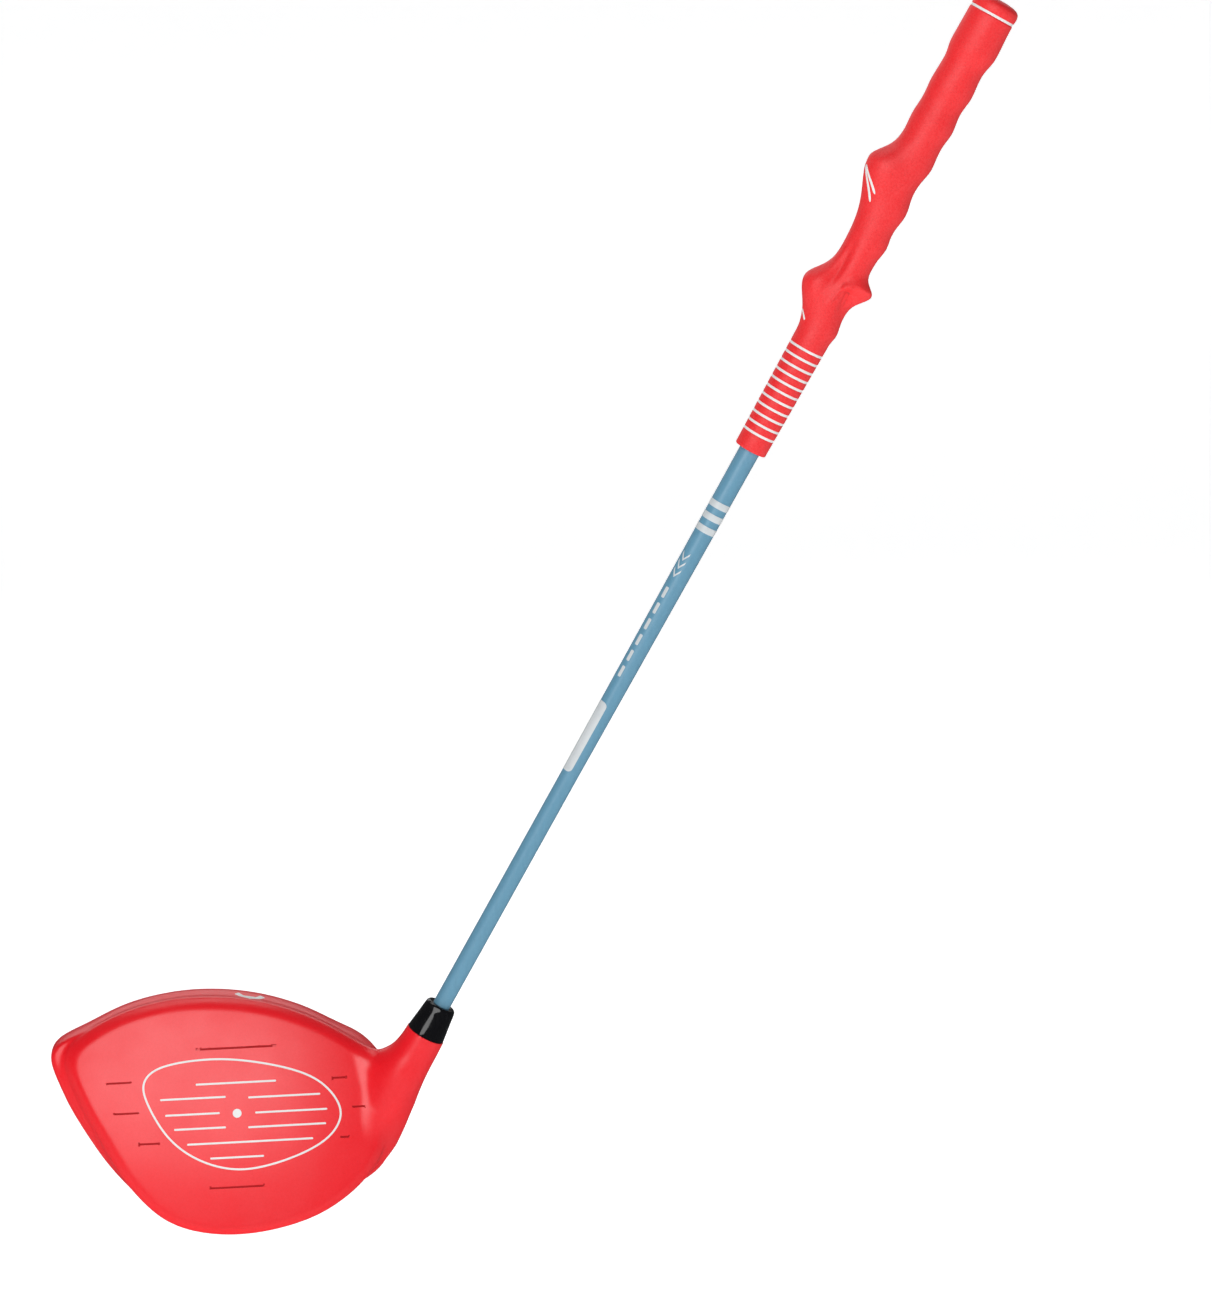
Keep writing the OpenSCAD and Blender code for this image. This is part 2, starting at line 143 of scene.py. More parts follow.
class ClubColours(bpy.types.PropertyGroup):
    """Colours of the club"""
    head: bpy.props.FloatVectorProperty(
        name="Head", description="Moulded plastic of the head", subtype="COLOR",
        size=3, min=0, max=1, default=(0.93, 0.006, 0.014))
    grip: bpy.props.FloatVectorProperty(
        name="Grip", description="Rubber of the grip", subtype="COLOR",
        size=3, min=0, max=1, default=(0.93, 0.018, 0.022))
    shaft: bpy.props.FloatVectorProperty(
        name="Shaft", description="Paint of the shaft", subtype="COLOR",
        size=3, min=0, max=1, default=(0.13, 0.32, 0.46))
    white: bpy.props.FloatVectorProperty(
        name="White", description="Rings, bands and painted lines", subtype="COLOR",
        size=3, min=0, max=1, default=(0.86, 0.86, 0.85))


def sizes():
    return bpy.context.scene.club_sizes


def colours():
    return bpy.context.scene.club_colours


# ================================================================ curves and meshes
def smoothstep(t):
    u = np.clip(t, 0.0, 1.0)
    return u * u * (3 - 2 * u)


def closed_curve(points, count):
    """A smooth closed curve through the points, sampled at count places."""
    p = np.asarray(points, float)
    n = len(p)
    at = np.arange(count) * n / count
    i = np.floor(at).astype(int)
    f = (at - i)[:, None]
    a, b, c, d = (p[(i + k) % n] for k in (-1, 0, 1, 2))
    return 0.5 * (2 * b + (c - a) * f + (2 * a - 5 * b + 4 * c - d) * f ** 2
                  + (3 * b - a - 3 * c + d) * f ** 3)


def faired(curve, width):
    """The same closed curve with its small waves taken out; width counts samples."""
    n = len(curve)
    k = np.fft.fftfreq(n, 1 / n)
    gain = np.exp(-2 * (math.pi * width * k / n) ** 2)[:, None]
    return np.fft.ifft(np.fft.fft(curve, axis=0) * gain, axis=0).real


def grid_faces(rows, cols, wrap_rows=False):
    """Quads of a grid whose columns wrap round."""
    i, j = np.meshgrid(np.arange(rows if wrap_rows else rows - 1), np.arange(cols), indexing="ij")
    k, m = (i + 1) % rows, (j + 1) % cols
    return np.stack([i * cols + j, i * cols + m, k * cols + m, k * cols + j], -1).reshape(-1, 4)


def new_mesh(name, verts, faces):
    mesh = bpy.data.meshes.new(name)
    mesh.from_pydata([tuple(v) for v in verts], [], [tuple(int(k) for k in f) for f in faces])
    mesh.validate()
    mesh.update()
    return mesh


def joined(name, parts):
    """One mesh from several (verts, faces), each facing outwards."""
    bm = bmesh.new()
    for verts, faces in parts:
        made = [bm.verts.new(v) for v in verts]
        for f in faces:
            bm.faces.new([made[k] for k in f])
    bmesh.ops.recalc_face_normals(bm, faces=bm.faces)
    mesh = bpy.data.meshes.new(name)
    bm.to_mesh(mesh)
    bm.free()
    return mesh


def linked(name, data):
    obj = bpy.data.objects.new(name, data)
    bpy.context.scene.collection.objects.link(obj)
    return obj


def evaluated(obj):
    """The mesh that an object's modifiers give; the object itself is removed."""
    mesh = bpy.data.meshes.new_from_object(
        obj.evaluated_get(bpy.context.evaluated_depsgraph_get()))
    bpy.data.objects.remove(obj)
    return mesh


def face_outward(mesh):
    bm = bmesh.new()
    bm.from_mesh(mesh)
    bmesh.ops.recalc_face_normals(bm, faces=bm.faces)
    if bm.calc_volume(signed=True) < 0:
        bmesh.ops.reverse_faces(bm, faces=bm.faces)
    bm.to_mesh(mesh)
    bm.free()


def new_piece(name, mesh, material, nodes=(), sharp=35.0):
    """Links a finished mesh as a piece of the club, in metres in the club's frame."""
    face_outward(mesh)
    mesh.shade_smooth()
    mesh.set_sharp_from_angle(angle=math.radians(sharp))
    obj = linked(name, mesh)
    obj.data.materials.clear()
    obj.data.materials.append(material)
    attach(obj, "root")
    if nodes:
        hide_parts(*nodes)
    return obj


def lofted(rings):
    """A closed mesh from rings of the same length, with a middle point at each end."""
    rings = np.asarray(rings, float)
    rows, cols = rings.shape[:2]
    verts = np.vstack([rings.reshape(-1, 3), rings[0].mean(0), rings[-1].mean(0)])
    quads = [tuple(q) for q in grid_faces(rows, cols)]
    first, last = rows * cols, rows * cols + 1
    start = [(first, (j + 1) % cols, j) for j in range(cols)]
    base = (rows - 1) * cols
    end = [(last, base + j, base + (j + 1) % cols) for j in range(cols)]
    return verts, quads + start + end


def torus_like(rings):
    """A closed mesh from rings that run round and join up again."""
    rings = np.asarray(rings, float)
    rows, cols = rings.shape[:2]
    return rings.reshape(-1, 3), grid_faces(rows, cols, wrap_rows=True)


def rounded_profile(corners, radius, steps=4, closed=True):
    """Corner points (r, z) with each corner rounded, unless its radius is 0."""
    pts = [np.asarray(c[:2], float) for c in corners]
    radii = [c[2] if len(c) > 2 else radius for c in corners]
    out = []
    n = len(pts)
    for k, p in enumerate(pts):
        if not closed and k in (0, n - 1):
            out.append(p)
            continue
        a, b = pts[k - 1] - p, pts[(k + 1) % n] - p
        la, lb = np.linalg.norm(a), np.linalg.norm(b)
        cut = min(radii[k], 0.45 * la, 0.45 * lb)
        if cut <= 0:
            out.append(p)
            continue
        s, e = p + a / la * cut, p + b / lb * cut
        for t in np.linspace(0, 1, steps + 1):
            out.append((1 - t) ** 2 * s + 2 * t * (1 - t) * p + t * t * e)
    return np.array(out)


# ================================================================ the shaft's axis
def axis_frame():
    """Matrix from shaft coordinates, in mm, to the club's frame, in metres.
    z runs from the butt to the head, x points to the thumb side, -y to the face side."""
    s = sizes()
    c, n = math.cos(s.lie), math.sin(s.lie)
    m = np.eye(4)
    m[:3, 0] = (-n, 0, c)
    m[:3, 1] = (0, 1, 0)
    m[:3, 2] = (-c, 0, -n)
    m[:3, :3] *= MM
    m[:3, 3] = (s.heel_reach + s.length * c, 0, s.length * n)
    return m


def on_shaft(points):
    m = axis_frame()
    p = np.asarray(points, float)
    return p @ m[:3, :3].T + m[:3, 3]


def shaft_place(p):
    """Shaft coordinates of points of the club, both in mm."""
    m = axis_frame()
    return (p * MM - m[:3, 3]) @ (m[:3, :3] / MM) / MM


def ring_at(radius, turn, z):
    """Points round the shaft's axis, in shaft coordinates; turn is in degrees."""
    w = np.radians(turn)
    return np.stack(np.broadcast_arrays(radius * np.cos(w), radius * np.sin(w), z), -1)


def turned(profile, sides=128):
    """Turns a closed profile of (r, z) points round the shaft's axis."""
    a = np.arange(sides) * TAU / sides
    rings = np.stack([
        profile[:, None, 0] * np.cos(a), profile[:, None, 0] * np.sin(a),
        np.broadcast_to(profile[:, None, 1], (len(profile), sides))], -1)
    verts, faces = torus_like(rings)
    return on_shaft(verts), faces


def turned_piece(name, corners, radius, material, nodes, sides=128, sharp=35.0):
    verts, faces = turned(rounded_profile(corners, radius), sides)
    return new_piece(name, new_mesh(name, verts, faces), material, nodes, sharp)


def shaft_radius(z):
    t = np.clip((np.asarray(z, float) - TAPER[0]) / (TAPER[1] - TAPER[0]), 0, 1)
    return SHAFT_R[0] + (SHAFT_R[1] - SHAFT_R[0]) * t


# ================================================================ materials
class Surface:
    """A procedural material, built up node by node."""

    def __init__(self, name, colour, roughness, **shader):
        self.material = bpy.data.materials.new(name)
        self.material.use_nodes = True
        self.nodes = self.material.node_tree.nodes
        self.links = self.material.node_tree.links
        self.shader = self.nodes["Principled BSDF"]
        self.shader.inputs["Base Color"].default_value = (*colour, 1)
        self.shader.inputs["Roughness"].default_value = roughness
        for key, value in shader.items():
            self.shader.inputs[key.replace("_", " ")].default_value = value
        self.colour = None
        self.rough = None
        self.height = None
        self.place = self.nodes.new("ShaderNodeTexCoord").outputs["Object"]
        self.base = (*colour, 1)

    def node(self, kind, **values):
        made = self.nodes.new(kind)
        for key, value in values.items():
            setattr(made, key, value)
        return made

    def mapped(self, scale=(1, 1, 1), turn=(0, 0, 0)):
        m = self.node("ShaderNodeMapping")
        m.inputs["Scale"].default_value = scale
        m.inputs["Rotation"].default_value = turn
        self.links.new(self.place, m.inputs["Vector"])
        return m.outputs["Vector"]

    def noise(self, scale, detail=4.0, rough=0.55, vector=None, low=0.0, high=1.0, edges=(0.3, 0.7)):
        n = self.node("ShaderNodeTexNoise")
        n.inputs["Scale"].default_value = scale
        n.inputs["Detail"].default_value = detail
        n.inputs["Roughness"].default_value = rough
        self.links.new(vector or self.place, n.inputs["Vector"])
        r = self.node("ShaderNodeMapRange")
        r.inputs["From Min"].default_value = edges[0]
        r.inputs["From Max"].default_value = edges[1]
        r.inputs["To Min"].default_value = low
        r.inputs["To Max"].default_value = high
        self.links.new(n.outputs["Fac"], r.inputs["Value"])
        return r.outputs["Result"]

    def tint(self, other, factor):
        """Mixes the colour so far with another one by a 0 to 1 factor."""
        mix = self.node("ShaderNodeMix", data_type="RGBA")
        if self.colour is None:
            mix.inputs["A"].default_value = self.base
        else:
            self.links.new(self.colour, mix.inputs["A"])
        mix.inputs["B"].default_value = (*other, 1)
        self.links.new(factor, mix.inputs["Factor"])
        self.colour = mix.outputs["Result"]
        self.links.new(self.colour, self.shader.inputs["Base Color"])

    def roughen(self, value):
        """Adds a value to the roughness so far."""
        add = self.node("ShaderNodeMath", operation="ADD")
        if self.rough is None:
            add.inputs[0].default_value = self.shader.inputs["Roughness"].default_value
        else:
            self.links.new(self.rough, add.inputs[0])
        self.links.new(value, add.inputs[1])
        self.rough = add.outputs[0]
        self.links.new(self.rough, self.shader.inputs["Roughness"])

    def bump(self, height, depth, strength=1.0):
        b = self.node("ShaderNodeBump")
        b.inputs["Strength"].default_value = strength
        b.inputs["Distance"].default_value = depth
        self.links.new(height, b.inputs["Height"])
        if self.height is not None:
            self.links.new(self.height, b.inputs["Normal"])
        self.height = b.outputs["Normal"]
        self.links.new(self.height, self.shader.inputs["Normal"])

    def worn_edges(self, other, low=0.52, high=0.62, strength=0.5):
        """Tints the surface where it bends: outward if low is under high, else inward. Outward it is
        wear on the edges; inward it is painted shade, with some dirt, in creases and hollows.
        """
        g = self.node("ShaderNodeNewGeometry")
        r = self.node("ShaderNodeMapRange")
        r.inputs["From Min"].default_value = low
        r.inputs["From Max"].default_value = high
        r.inputs["To Max"].default_value = strength
        self.links.new(g.outputs["Pointiness"], r.inputs["Value"])
        self.tint(other, r.outputs["Result"])


def scaled(colour, k):
    return tuple(min(1.0, max(0.0, c * k)) for c in colour)


def made_once(build):
    """Keeps each material so that like pieces share it, under a name the CAD frame doesn't use."""
    def get():
        name = "look_" + build.__name__
        if name not in bpy.data.materials:
            build(name)
        return bpy.data.materials[name]
    return get


@made_once
def head_plastic(name):
    base = tuple(colours().head)
    s = Surface(name, base, 0.31, Specular_IOR_Level=0.62)
    s.tint(scaled(base, 0.86), s.noise(14, 3, low=0.0, high=0.35))
    s.tint((0.96, 0.035, 0.05), s.noise(900, 2, low=0.0, high=0.25))
    s.tint((0.62, 0.004, 0.01), s.noise(2600, 1, low=0.0, high=0.25, edges=(0.55, 0.75)))
    s.roughen(s.noise(60, 5, low=-0.03, high=0.06))
    s.bump(s.noise(2400, 2, 0.6), 0.00002, 0.35)
    s.bump(s.noise(90, 3), 0.00005, 0.10)
    s.worn_edges(scaled(base, 1.1), 0.53, 0.60, 0.3)


# Painted shade: a darker red for the floors of the plain grooves on the face, darker than their own
# shading under the frontal light
@made_once
def groove_red(name):
    s = Surface(name, scaled(colours().head, 0.62), 0.6, Specular_IOR_Level=0.3)
    s.tint(scaled(colours().head, 0.5), s.noise(700, 3, low=0.0, high=0.6))


@made_once
def grip_rubber(name):
    base = tuple(colours().grip)
    s = Surface(name, base, 0.46, Specular_IOR_Level=0.42)
    s.tint(scaled(base, 0.84), s.noise(22, 3, low=0.0, high=0.4))
    s.tint((0.96, 0.09, 0.095), s.noise(1100, 2, low=0.0, high=0.35))
    s.tint((0.50, 0.012, 0.012), s.noise(2300, 1, low=0.0, high=0.4, edges=(0.55, 0.75)))
    # Partly dirt, partly painted shade: a dark red where the rubber bends inwards, in the creases and
    # the valley under the fins
    s.worn_edges((0.42, 0.012, 0.012), 0.492, 0.44, 0.8)
    s.roughen(s.noise(140, 4, low=-0.05, high=0.08))
    s.bump(s.noise(3200, 2, 0.6), 0.000025, 0.4)
    s.bump(s.noise(160, 3), 0.00006, 0.12)


@made_once
def shaft_paint(name):
    base = tuple(colours().shaft)
    s = Surface(name, base, 0.34, Specular_IOR_Level=0.5, Coat_Weight=0.15, Coat_Roughness=0.25)
    along = s.mapped((1, 1, 0.06), (0, math.radians(-30), 0))
    s.tint(scaled(base, 0.85), s.noise(500, 3, vector=along, low=0.0, high=0.35))
    s.tint((0.26, 0.47, 0.60), s.noise(2200, 2, low=0.0, high=0.22, edges=(0.5, 0.75)))
    s.roughen(s.noise(900, 4, vector=along, low=-0.04, high=0.08))
    s.bump(s.noise(1400, 2), 0.00001, 0.2)


@made_once
def ferrule_plastic(name):
    s = Surface(name, (0.004, 0.004, 0.005), 0.07, Specular_IOR_Level=0.5)
    along = s.mapped((1, 1, 0.12), (0, math.radians(-30), 0))
    s.tint((0.015, 0.015, 0.016), s.noise(700, 4, vector=along, low=0.0, high=0.5, edges=(0.55, 0.8)))
    s.roughen(s.noise(420, 5, low=-0.02, high=0.14, edges=(0.4, 0.8)))
    s.bump(s.noise(260, 4), 0.00006, 0.25)


@made_once
def ring_rubber(name):
    base = tuple(colours().white)
    s = Surface(name, base, 0.55)
    s.tint((0.70, 0.63, 0.60), s.noise(240, 4, low=0.0, high=0.35, edges=(0.45, 0.8)))
    s.bump(s.noise(2600, 2), 0.00002, 0.3)


@made_once
def line_paint(name):
    base = tuple(colours().white)
    s = Surface(name, base, 0.42)
    s.tint((0.78, 0.66, 0.64), s.noise(380, 4, low=0.0, high=0.35, edges=(0.5, 0.8)))
    s.bump(s.noise(1500, 3), 0.00003, 0.4)


@made_once
def printed_film(name):
    s = Surface(name, (0.62, 0.66, 0.68), 0.36)
    s.tint((0.46, 0.52, 0.56), s.noise(420, 4, low=0.0, high=0.4, edges=(0.45, 0.8)))
    s.tint((0.74, 0.77, 0.78), s.noise(60, 2, low=0.0, high=0.4))
    s.bump(s.noise(1800, 2), 0.00001, 0.3)


@made_once
def inner_tape(name):
    s = Surface(name, (0.50, 0.42, 0.30), 0.7)
    s.tint((0.40, 0.32, 0.22), s.noise(600, 4, low=0.0, high=0.6))
    s.bump(s.noise(1500, 3), 0.00005, 0.4)


@made_once
def cured_resin(name):
    s = Surface(name, (0.55, 0.48, 0.33), 0.25, Transmission_Weight=0.2)
    s.tint((0.48, 0.40, 0.26), s.noise(300, 3, low=0.0, high=0.6))
    s.bump(s.noise(600, 3), 0.00008, 0.3)


@made_once
def studio_floor(name):
    s = Surface(name, (0.93, 0.93, 0.93), 0.85, Emission_Strength=0.7)
    s.shader.inputs["Emission Color"].default_value = (1, 1, 1, 1)
    s.tint((0.90, 0.90, 0.905), s.noise(1.5, 3, low=0.0, high=0.5))
    s.bump(s.noise(40, 3), 0.0005, 0.1)


# ================================================================ the head's surface
def fall_back(p):
    """How far the face's curve falls back at [across, up]."""
    return BULGE_R - np.sqrt(BULGE_R ** 2 - p[..., 0] ** 2 - (p[..., 1] - DOT_H) ** 2)


def head_points(p, depth):
    """Points of the head from [across, up] at a depth behind the face, all in mm."""
    tilt = LOFT * (1 - smoothstep(depth / SKIRT_FADE))
    back = fall_back(p) * (1 - smoothstep(depth / SKIRT_DEPTH))
    return np.stack([
        p[..., 0],
        FACE_Y + depth + back * np.cos(tilt) + p[..., 1] * np.sin(tilt),
        FACE_Z + p[..., 1] * np.cos(tilt) - back * np.sin(tilt)], -1)


def inward(p, t):
    v = p - HEAD_MID
    length = np.linalg.norm(v, axis=-1, keepdims=True)
    return HEAD_MID + v * (1 - np.minimum(t, 0.9 * length) / length)


def head_section(depth, inset, count):
    face = faired(closed_curve(FACE_OUTLINE, count), count / 90)
    skirt = faired(closed_curve(SKIRT_OUTLINE, count), count / 90)
    w = smoothstep(depth / SKIRT_DEPTH)
    p = face * (1 - w) + skirt * w
    u = float(np.clip((depth - SKIRT_DEPTH) / (HEAD_DEPTH - SKIRT_DEPTH), 0, 1))
    across = (1 - u ** 2.3) ** (1 / 2.1)
    upper, lower = (1 - u ** 1.6) ** (1 / 1.7), (1 - u ** 2.8) ** (1 / 1.8)
    blend = smoothstep((p[:, 1] - TAIL[1]) / 24 + 0.5)
    upward = lower + (upper - lower) * blend
    q = np.stack([TAIL[0] + (p[:, 0] - TAIL[0]) * across,
                  TAIL[1] + (p[:, 1] - TAIL[1]) * upward], -1)
    return inward(q, inset)


def head_loft(count=320):
    """The head without its hosel, as rings from the middle of the face to the tail."""
    rings = []
    face_edge = head_section(0.0, EDGE_R, count)
    for share in np.linspace(0.02, 0.985, 46):
        rings.append(head_points(HEAD_MID + (face_edge - HEAD_MID) * share, 0.0))
    for a in np.linspace(0, math.pi / 2, 14):
        depth = EDGE_R * (1 - math.cos(a)) * 0.9
        rings.append(head_points(head_section(depth, EDGE_R * (1 - math.sin(a)), count), depth))
    start = EDGE_R * 0.9
    for depth in np.linspace(start, SKIRT_DEPTH, 15)[1:]:
        rings.append(head_points(head_section(depth, 0.0, count), depth))
    for t in np.linspace(0, 1, 80)[1:-1]:
        depth = SKIRT_DEPTH + (HEAD_DEPTH - SKIRT_DEPTH) * math.sin(t * math.pi / 2)
        rings.append(head_points(head_section(depth, 0.0, count), depth))
    return lofted(rings)


# The hosel's neck: places along the shaft and the radius there
NECK = [(HOSEL_TOP, HOSEL_R), (540.5, 9.4), (548, 9.5), (557, 9.5), (566, 9.4), (576, 8.2),
        (588, 5.8), (596, 2.5)]
NECK_SPARE = 1.0           # extra radius of the blank, taken off when it moves to the surface
BLEND = (23.0, 5.0)        # reach of the fillet round the neck and beside the face
BLEND_SPAN = (547, 575)    # where it narrows, along the shaft


def neck_radius(z):
    return np.interp(z, *zip(*NECK))


def neck_distance(p):
    """Signed distance, in mm, from points in mm to the hosel's neck."""
    q = shaft_place(p)
    r = np.hypot(q[:, 0], q[:, 1])
    side = r - neck_radius(q[:, 2])
    top = HOSEL_TOP - q[:, 2]
    low = q[:, 2] - NECK[-1][0]
    outside = np.stack([side, np.maximum(top, low)], -1)
    return np.minimum(outside.max(-1), 0) + np.linalg.norm(np.maximum(outside, 0), axis=-1)


def fillet_reach(p):
    """Reach of the fillet at points in mm: narrow only where the face lies beside the neck."""
    q = shaft_place(p)
    t = smoothstep((q[:, 2] - BLEND_SPAN[0]) / (BLEND_SPAN[1] - BLEND_SPAN[0]))
    toe = smoothstep((q[:, 0] + 6) / 14)
    front = smoothstep((1 - p[:, 1]) / 9)
    t = t * (1 - (1 - toe) * (1 - front))
    return BLEND[0] * (1 - t) + BLEND[1] * t


def blended_head():
    """The head with its hosel grown out of it: a remeshed blank moved onto the blended surface."""
    verts, faces = head_loft()
    loft = new_mesh("head_loft", verts, faces)
    face_outward(loft)
    tree = BVHTree.FromPolygons([v.co.copy() for v in loft.vertices],
                                [tuple(p.vertices) for p in loft.polygons])
    profile = np.array([(0.01, HOSEL_TOP)] + [(r + NECK_SPARE, z) for z, r in NECK]
                       + [(0.01, NECK[-1][0])])
    blank = linked("head_blank", joined("head_blank", [(verts * MM, faces), turned(profile, 96)]))
    remesh = blank.modifiers.new("remesh", "REMESH")
    remesh.mode = "VOXEL"
    remesh.voxel_size = sizes().voxel
    out = evaluated(blank)
    move_to_blend(out, tree)
    return out


def loft_distance(points, tree):
    """Signed distance to the loft and the outward direction there, in mm."""
    d = np.empty(len(points))
    n = np.empty((len(points), 3))
    for k, p in enumerate(points):
        q, normal, _, gap = tree.find_nearest(Vector(p))
        side = 1.0 if (Vector(p) - q).dot(normal) >= 0 else -1.0
        d[k] = gap * side
        n[k] = normal
    return d, n


def neck_slope(p):
    step = 0.05
    g = np.stack([neck_distance(p + step * e) - neck_distance(p - step * e)
                  for e in np.eye(3)], -1)
    return g / np.maximum(np.linalg.norm(g, axis=-1, keepdims=True), 1e-9)


def move_to_blend(mesh, tree, rounds=4):
    """Moves each vertex along the blended field until it lies on the surface."""
    n = len(mesh.vertices)
    co = np.empty(n * 3)
    mesh.vertices.foreach_get("co", co)
    p = co.reshape(-1, 3) / MM
    for _ in range(rounds):
        a, na = loft_distance(p, tree)
        b, nb = neck_distance(p), neck_slope(p)
        reach = fillet_reach(p)
        h = np.clip(0.5 + 0.5 * (b - a) / reach, 0, 1)
        d = b * (1 - h) + a * h - reach * h * (1 - h)
        g = nb * (1 - h[:, None]) + na * h[:, None]
        g /= np.maximum((g * g).sum(-1, keepdims=True), 0.25)
        p = np.where(on_hosel_end(p)[:, None], p, p - d[:, None] * g * 0.9)
    p = flatten_top(p)
    mesh.vertices.foreach_set("co", (p * MM).ravel())
    mesh.update()


def on_hosel_end(p):
    """True for points on the flat end of the hosel, which stay in its plane."""
    q = shaft_place(p)
    return (q[:, 2] < HOSEL_TOP + 0.4) & (np.hypot(q[:, 0], q[:, 1]) < HOSEL_R + 2)


def flatten_top(p):
    """Puts the hosel's end on its plane and its rim on its radius."""
    q = shaft_place(p)
    r = np.hypot(q[:, 0], q[:, 1])
    near = (q[:, 2] < HOSEL_TOP + 1.4) & (r < HOSEL_R + 2)
    q[near, 2] = np.maximum(q[near, 2], HOSEL_TOP)
    k = np.where(near, np.minimum(1, HOSEL_R / np.maximum(r, 1e-6)), 1)
    q[:, 0] *= k
    q[:, 1] *= k
    return on_shaft(q) / MM


# ================================================================ shapes on the face
def on_face(u, h, lift):
    """Points of the face's ball at [across, up], lifted outwards, in metres."""
    p = np.stack([np.asarray(u, float), np.asarray(h, float)], -1)
    centre = np.array((0, FACE_Y, FACE_Z)) + DOT_H * np.array((0, math.sin(LOFT), math.cos(LOFT))) \
        + BULGE_R * np.array((0, math.cos(LOFT), -math.sin(LOFT)))
    q = head_points(p, 0.0)
    n = q - centre
    n /= np.linalg.norm(n, axis=-1, keepdims=True)
    return (q + n * np.asarray(lift)[..., None]) * MM


def target_curve():
    return faired(closed_curve(TARGET_OUTLINE, 260), 5)


def bar(x0, x1, h, w, low, high, step=1.2):
    """A closed bar with round ends on the face, between two lifts."""
    r = w / 2
    ends = r * (1 - np.cos(np.linspace(0.35, math.pi / 2, 5)))
    u = np.concatenate([x0 + ends, np.linspace(x0 + r, x1 - r, max(3, int((x1 - x0) / step)))[1:-1],
                        (x1 - ends)[::-1]])
    near = np.minimum(u - x0, x1 - u)
    half = np.where(near < r, np.sqrt(np.maximum(r * r - (r - near) ** 2, 0.01)), r)
    rings = [on_face(u, h + side * half, np.full(len(u), lift))
             for side, lift in ((-1, low), (1, low), (1, high), (-1, high))]
    verts = np.stack(rings, 1).reshape(-1, 3)
    n = len(u)
    faces = [(4 * i + j, 4 * i + (j + 1) % 4, 4 * i + 4 + (j + 1) % 4, 4 * i + 4 + j)
             for i in range(n - 1) for j in range(4)]
    return verts, faces + [(3, 2, 1, 0), tuple(4 * n - 4 + j for j in range(4))]


def disc_outline(h, d, count=40):
    a = -np.arange(count) * TAU / count
    return np.stack([d / 2 * np.cos(a), h + d / 2 * np.sin(a)], -1)


def plate(outline, low, high):
    """A closed thin plate on the face between two lifts."""
    n = len(outline)
    verts = np.vstack([on_face(*outline.T, np.full(n, lift)) for lift in (low, high)])
    faces = [(j, (j + 1) % n, n + (j + 1) % n, n + j) for j in range(n)]
    faces += [tuple(range(n, 2 * n)), tuple(range(n - 1, -1, -1))]
    return verts, faces


def band_round(curve, w, low, high):
    """A closed band that follows a closed curve on the face, square in section."""
    tangent = np.roll(curve, -1, 0) - np.roll(curve, 1, 0)
    normal = np.stack([tangent[:, 1], -tangent[:, 0]], -1)
    normal /= np.linalg.norm(normal, axis=-1, keepdims=True)
    rings = []
    for side, lift in ((-1, low), (1, low), (1, high), (-1, high)):
        q = curve + normal * side * w / 2
        rings.append(on_face(q[:, 0], q[:, 1], np.full(len(q), lift)))
    return torus_like(rings)


def boolean(obj, tool_mesh, operation):
    """The mesh left of an object after a boolean; the object and the tool are removed."""
    tool = linked("tool", tool_mesh)
    m = obj.modifiers.new("cut", "BOOLEAN")
    m.operation = operation
    m.solver = "MANIFOLD"
    m.object = tool
    out = evaluated(obj)
    bpy.data.objects.remove(tool)
    if not len(out.polygons):
        raise RuntimeError("a boolean on the head left nothing")
    return out


def prism_x(outline, half=0.15):
    """A prism along X from an outline of (y, z) points, in metres."""
    n = len(outline)
    verts = [(x, y, z) for x in (-half, half) for y, z in outline]
    faces = [(j, (j + 1) % n, n + (j + 1) % n, n + j) for j in range(n)]
    faces += [tuple(range(n - 1, -1, -1)), tuple(range(n, 2 * n))]
    return verts, faces


def sole_wedge(grow):
    """Everything behind the face skirt and below the crown's seam, grown by some mm."""
    fall = np.array((math.cos(SEAM_FALL), -math.sin(SEAM_FALL)))
    rise = np.array((math.sin(SEAM_FALL), math.cos(SEAM_FALL)))
    edge = np.array((0.0, SEAM_Z)) + grow * rise
    outline = [edge - fall * 90, edge + fall * 250, edge + fall * 250 - rise * 260,
               edge - fall * 90 - rise * 260]
    below = new_mesh("below", *prism_x(np.array(outline) * MM))
    u, h = np.meshgrid(np.linspace(-115, 115, 93), np.linspace(-95, 95, 77), indexing="ij")
    front = on_face(u, h, np.full(u.shape, grow - SEAM_DEPTH))
    back = front + np.array((0, 0.3, 0))
    rows, cols = u.shape
    verts = np.vstack([front.reshape(-1, 3), back.reshape(-1, 3)])
    quads = [(i * cols + j, i * cols + j + 1, (i + 1) * cols + j + 1, (i + 1) * cols + j)
             for i in range(rows - 1) for j in range(cols - 1)]
    n = rows * cols
    rim = [i * cols for i in range(rows)] + [(rows - 1) * cols + j for j in range(1, cols)]
    rim += [i * cols + cols - 1 for i in range(rows - 2, -1, -1)] + list(range(cols - 2, 0, -1))
    faces = quads + [tuple(k + n for k in reversed(q)) for q in quads]
    faces += [(a, b, b + n, a + n) for a, b in zip(rim, rim[1:] + rim[:1])]
    behind = new_mesh("behind", verts, faces)
    face_outward(behind)
    face_outward(below)
    return boolean(linked("behind", behind), below, "INTERSECT")


def copy_shrunk(mesh, depth):
    """A copy of a closed mesh moved inwards along its normals."""
    out = mesh.copy()
    n = len(out.vertices)
    co, no = np.empty(n * 3), np.empty(n * 3)
    out.vertices.foreach_get("co", co)
    out.vertices.foreach_get("normal", no)
    out.vertices.foreach_set("co", co - no * depth)
    out.update()
    return out


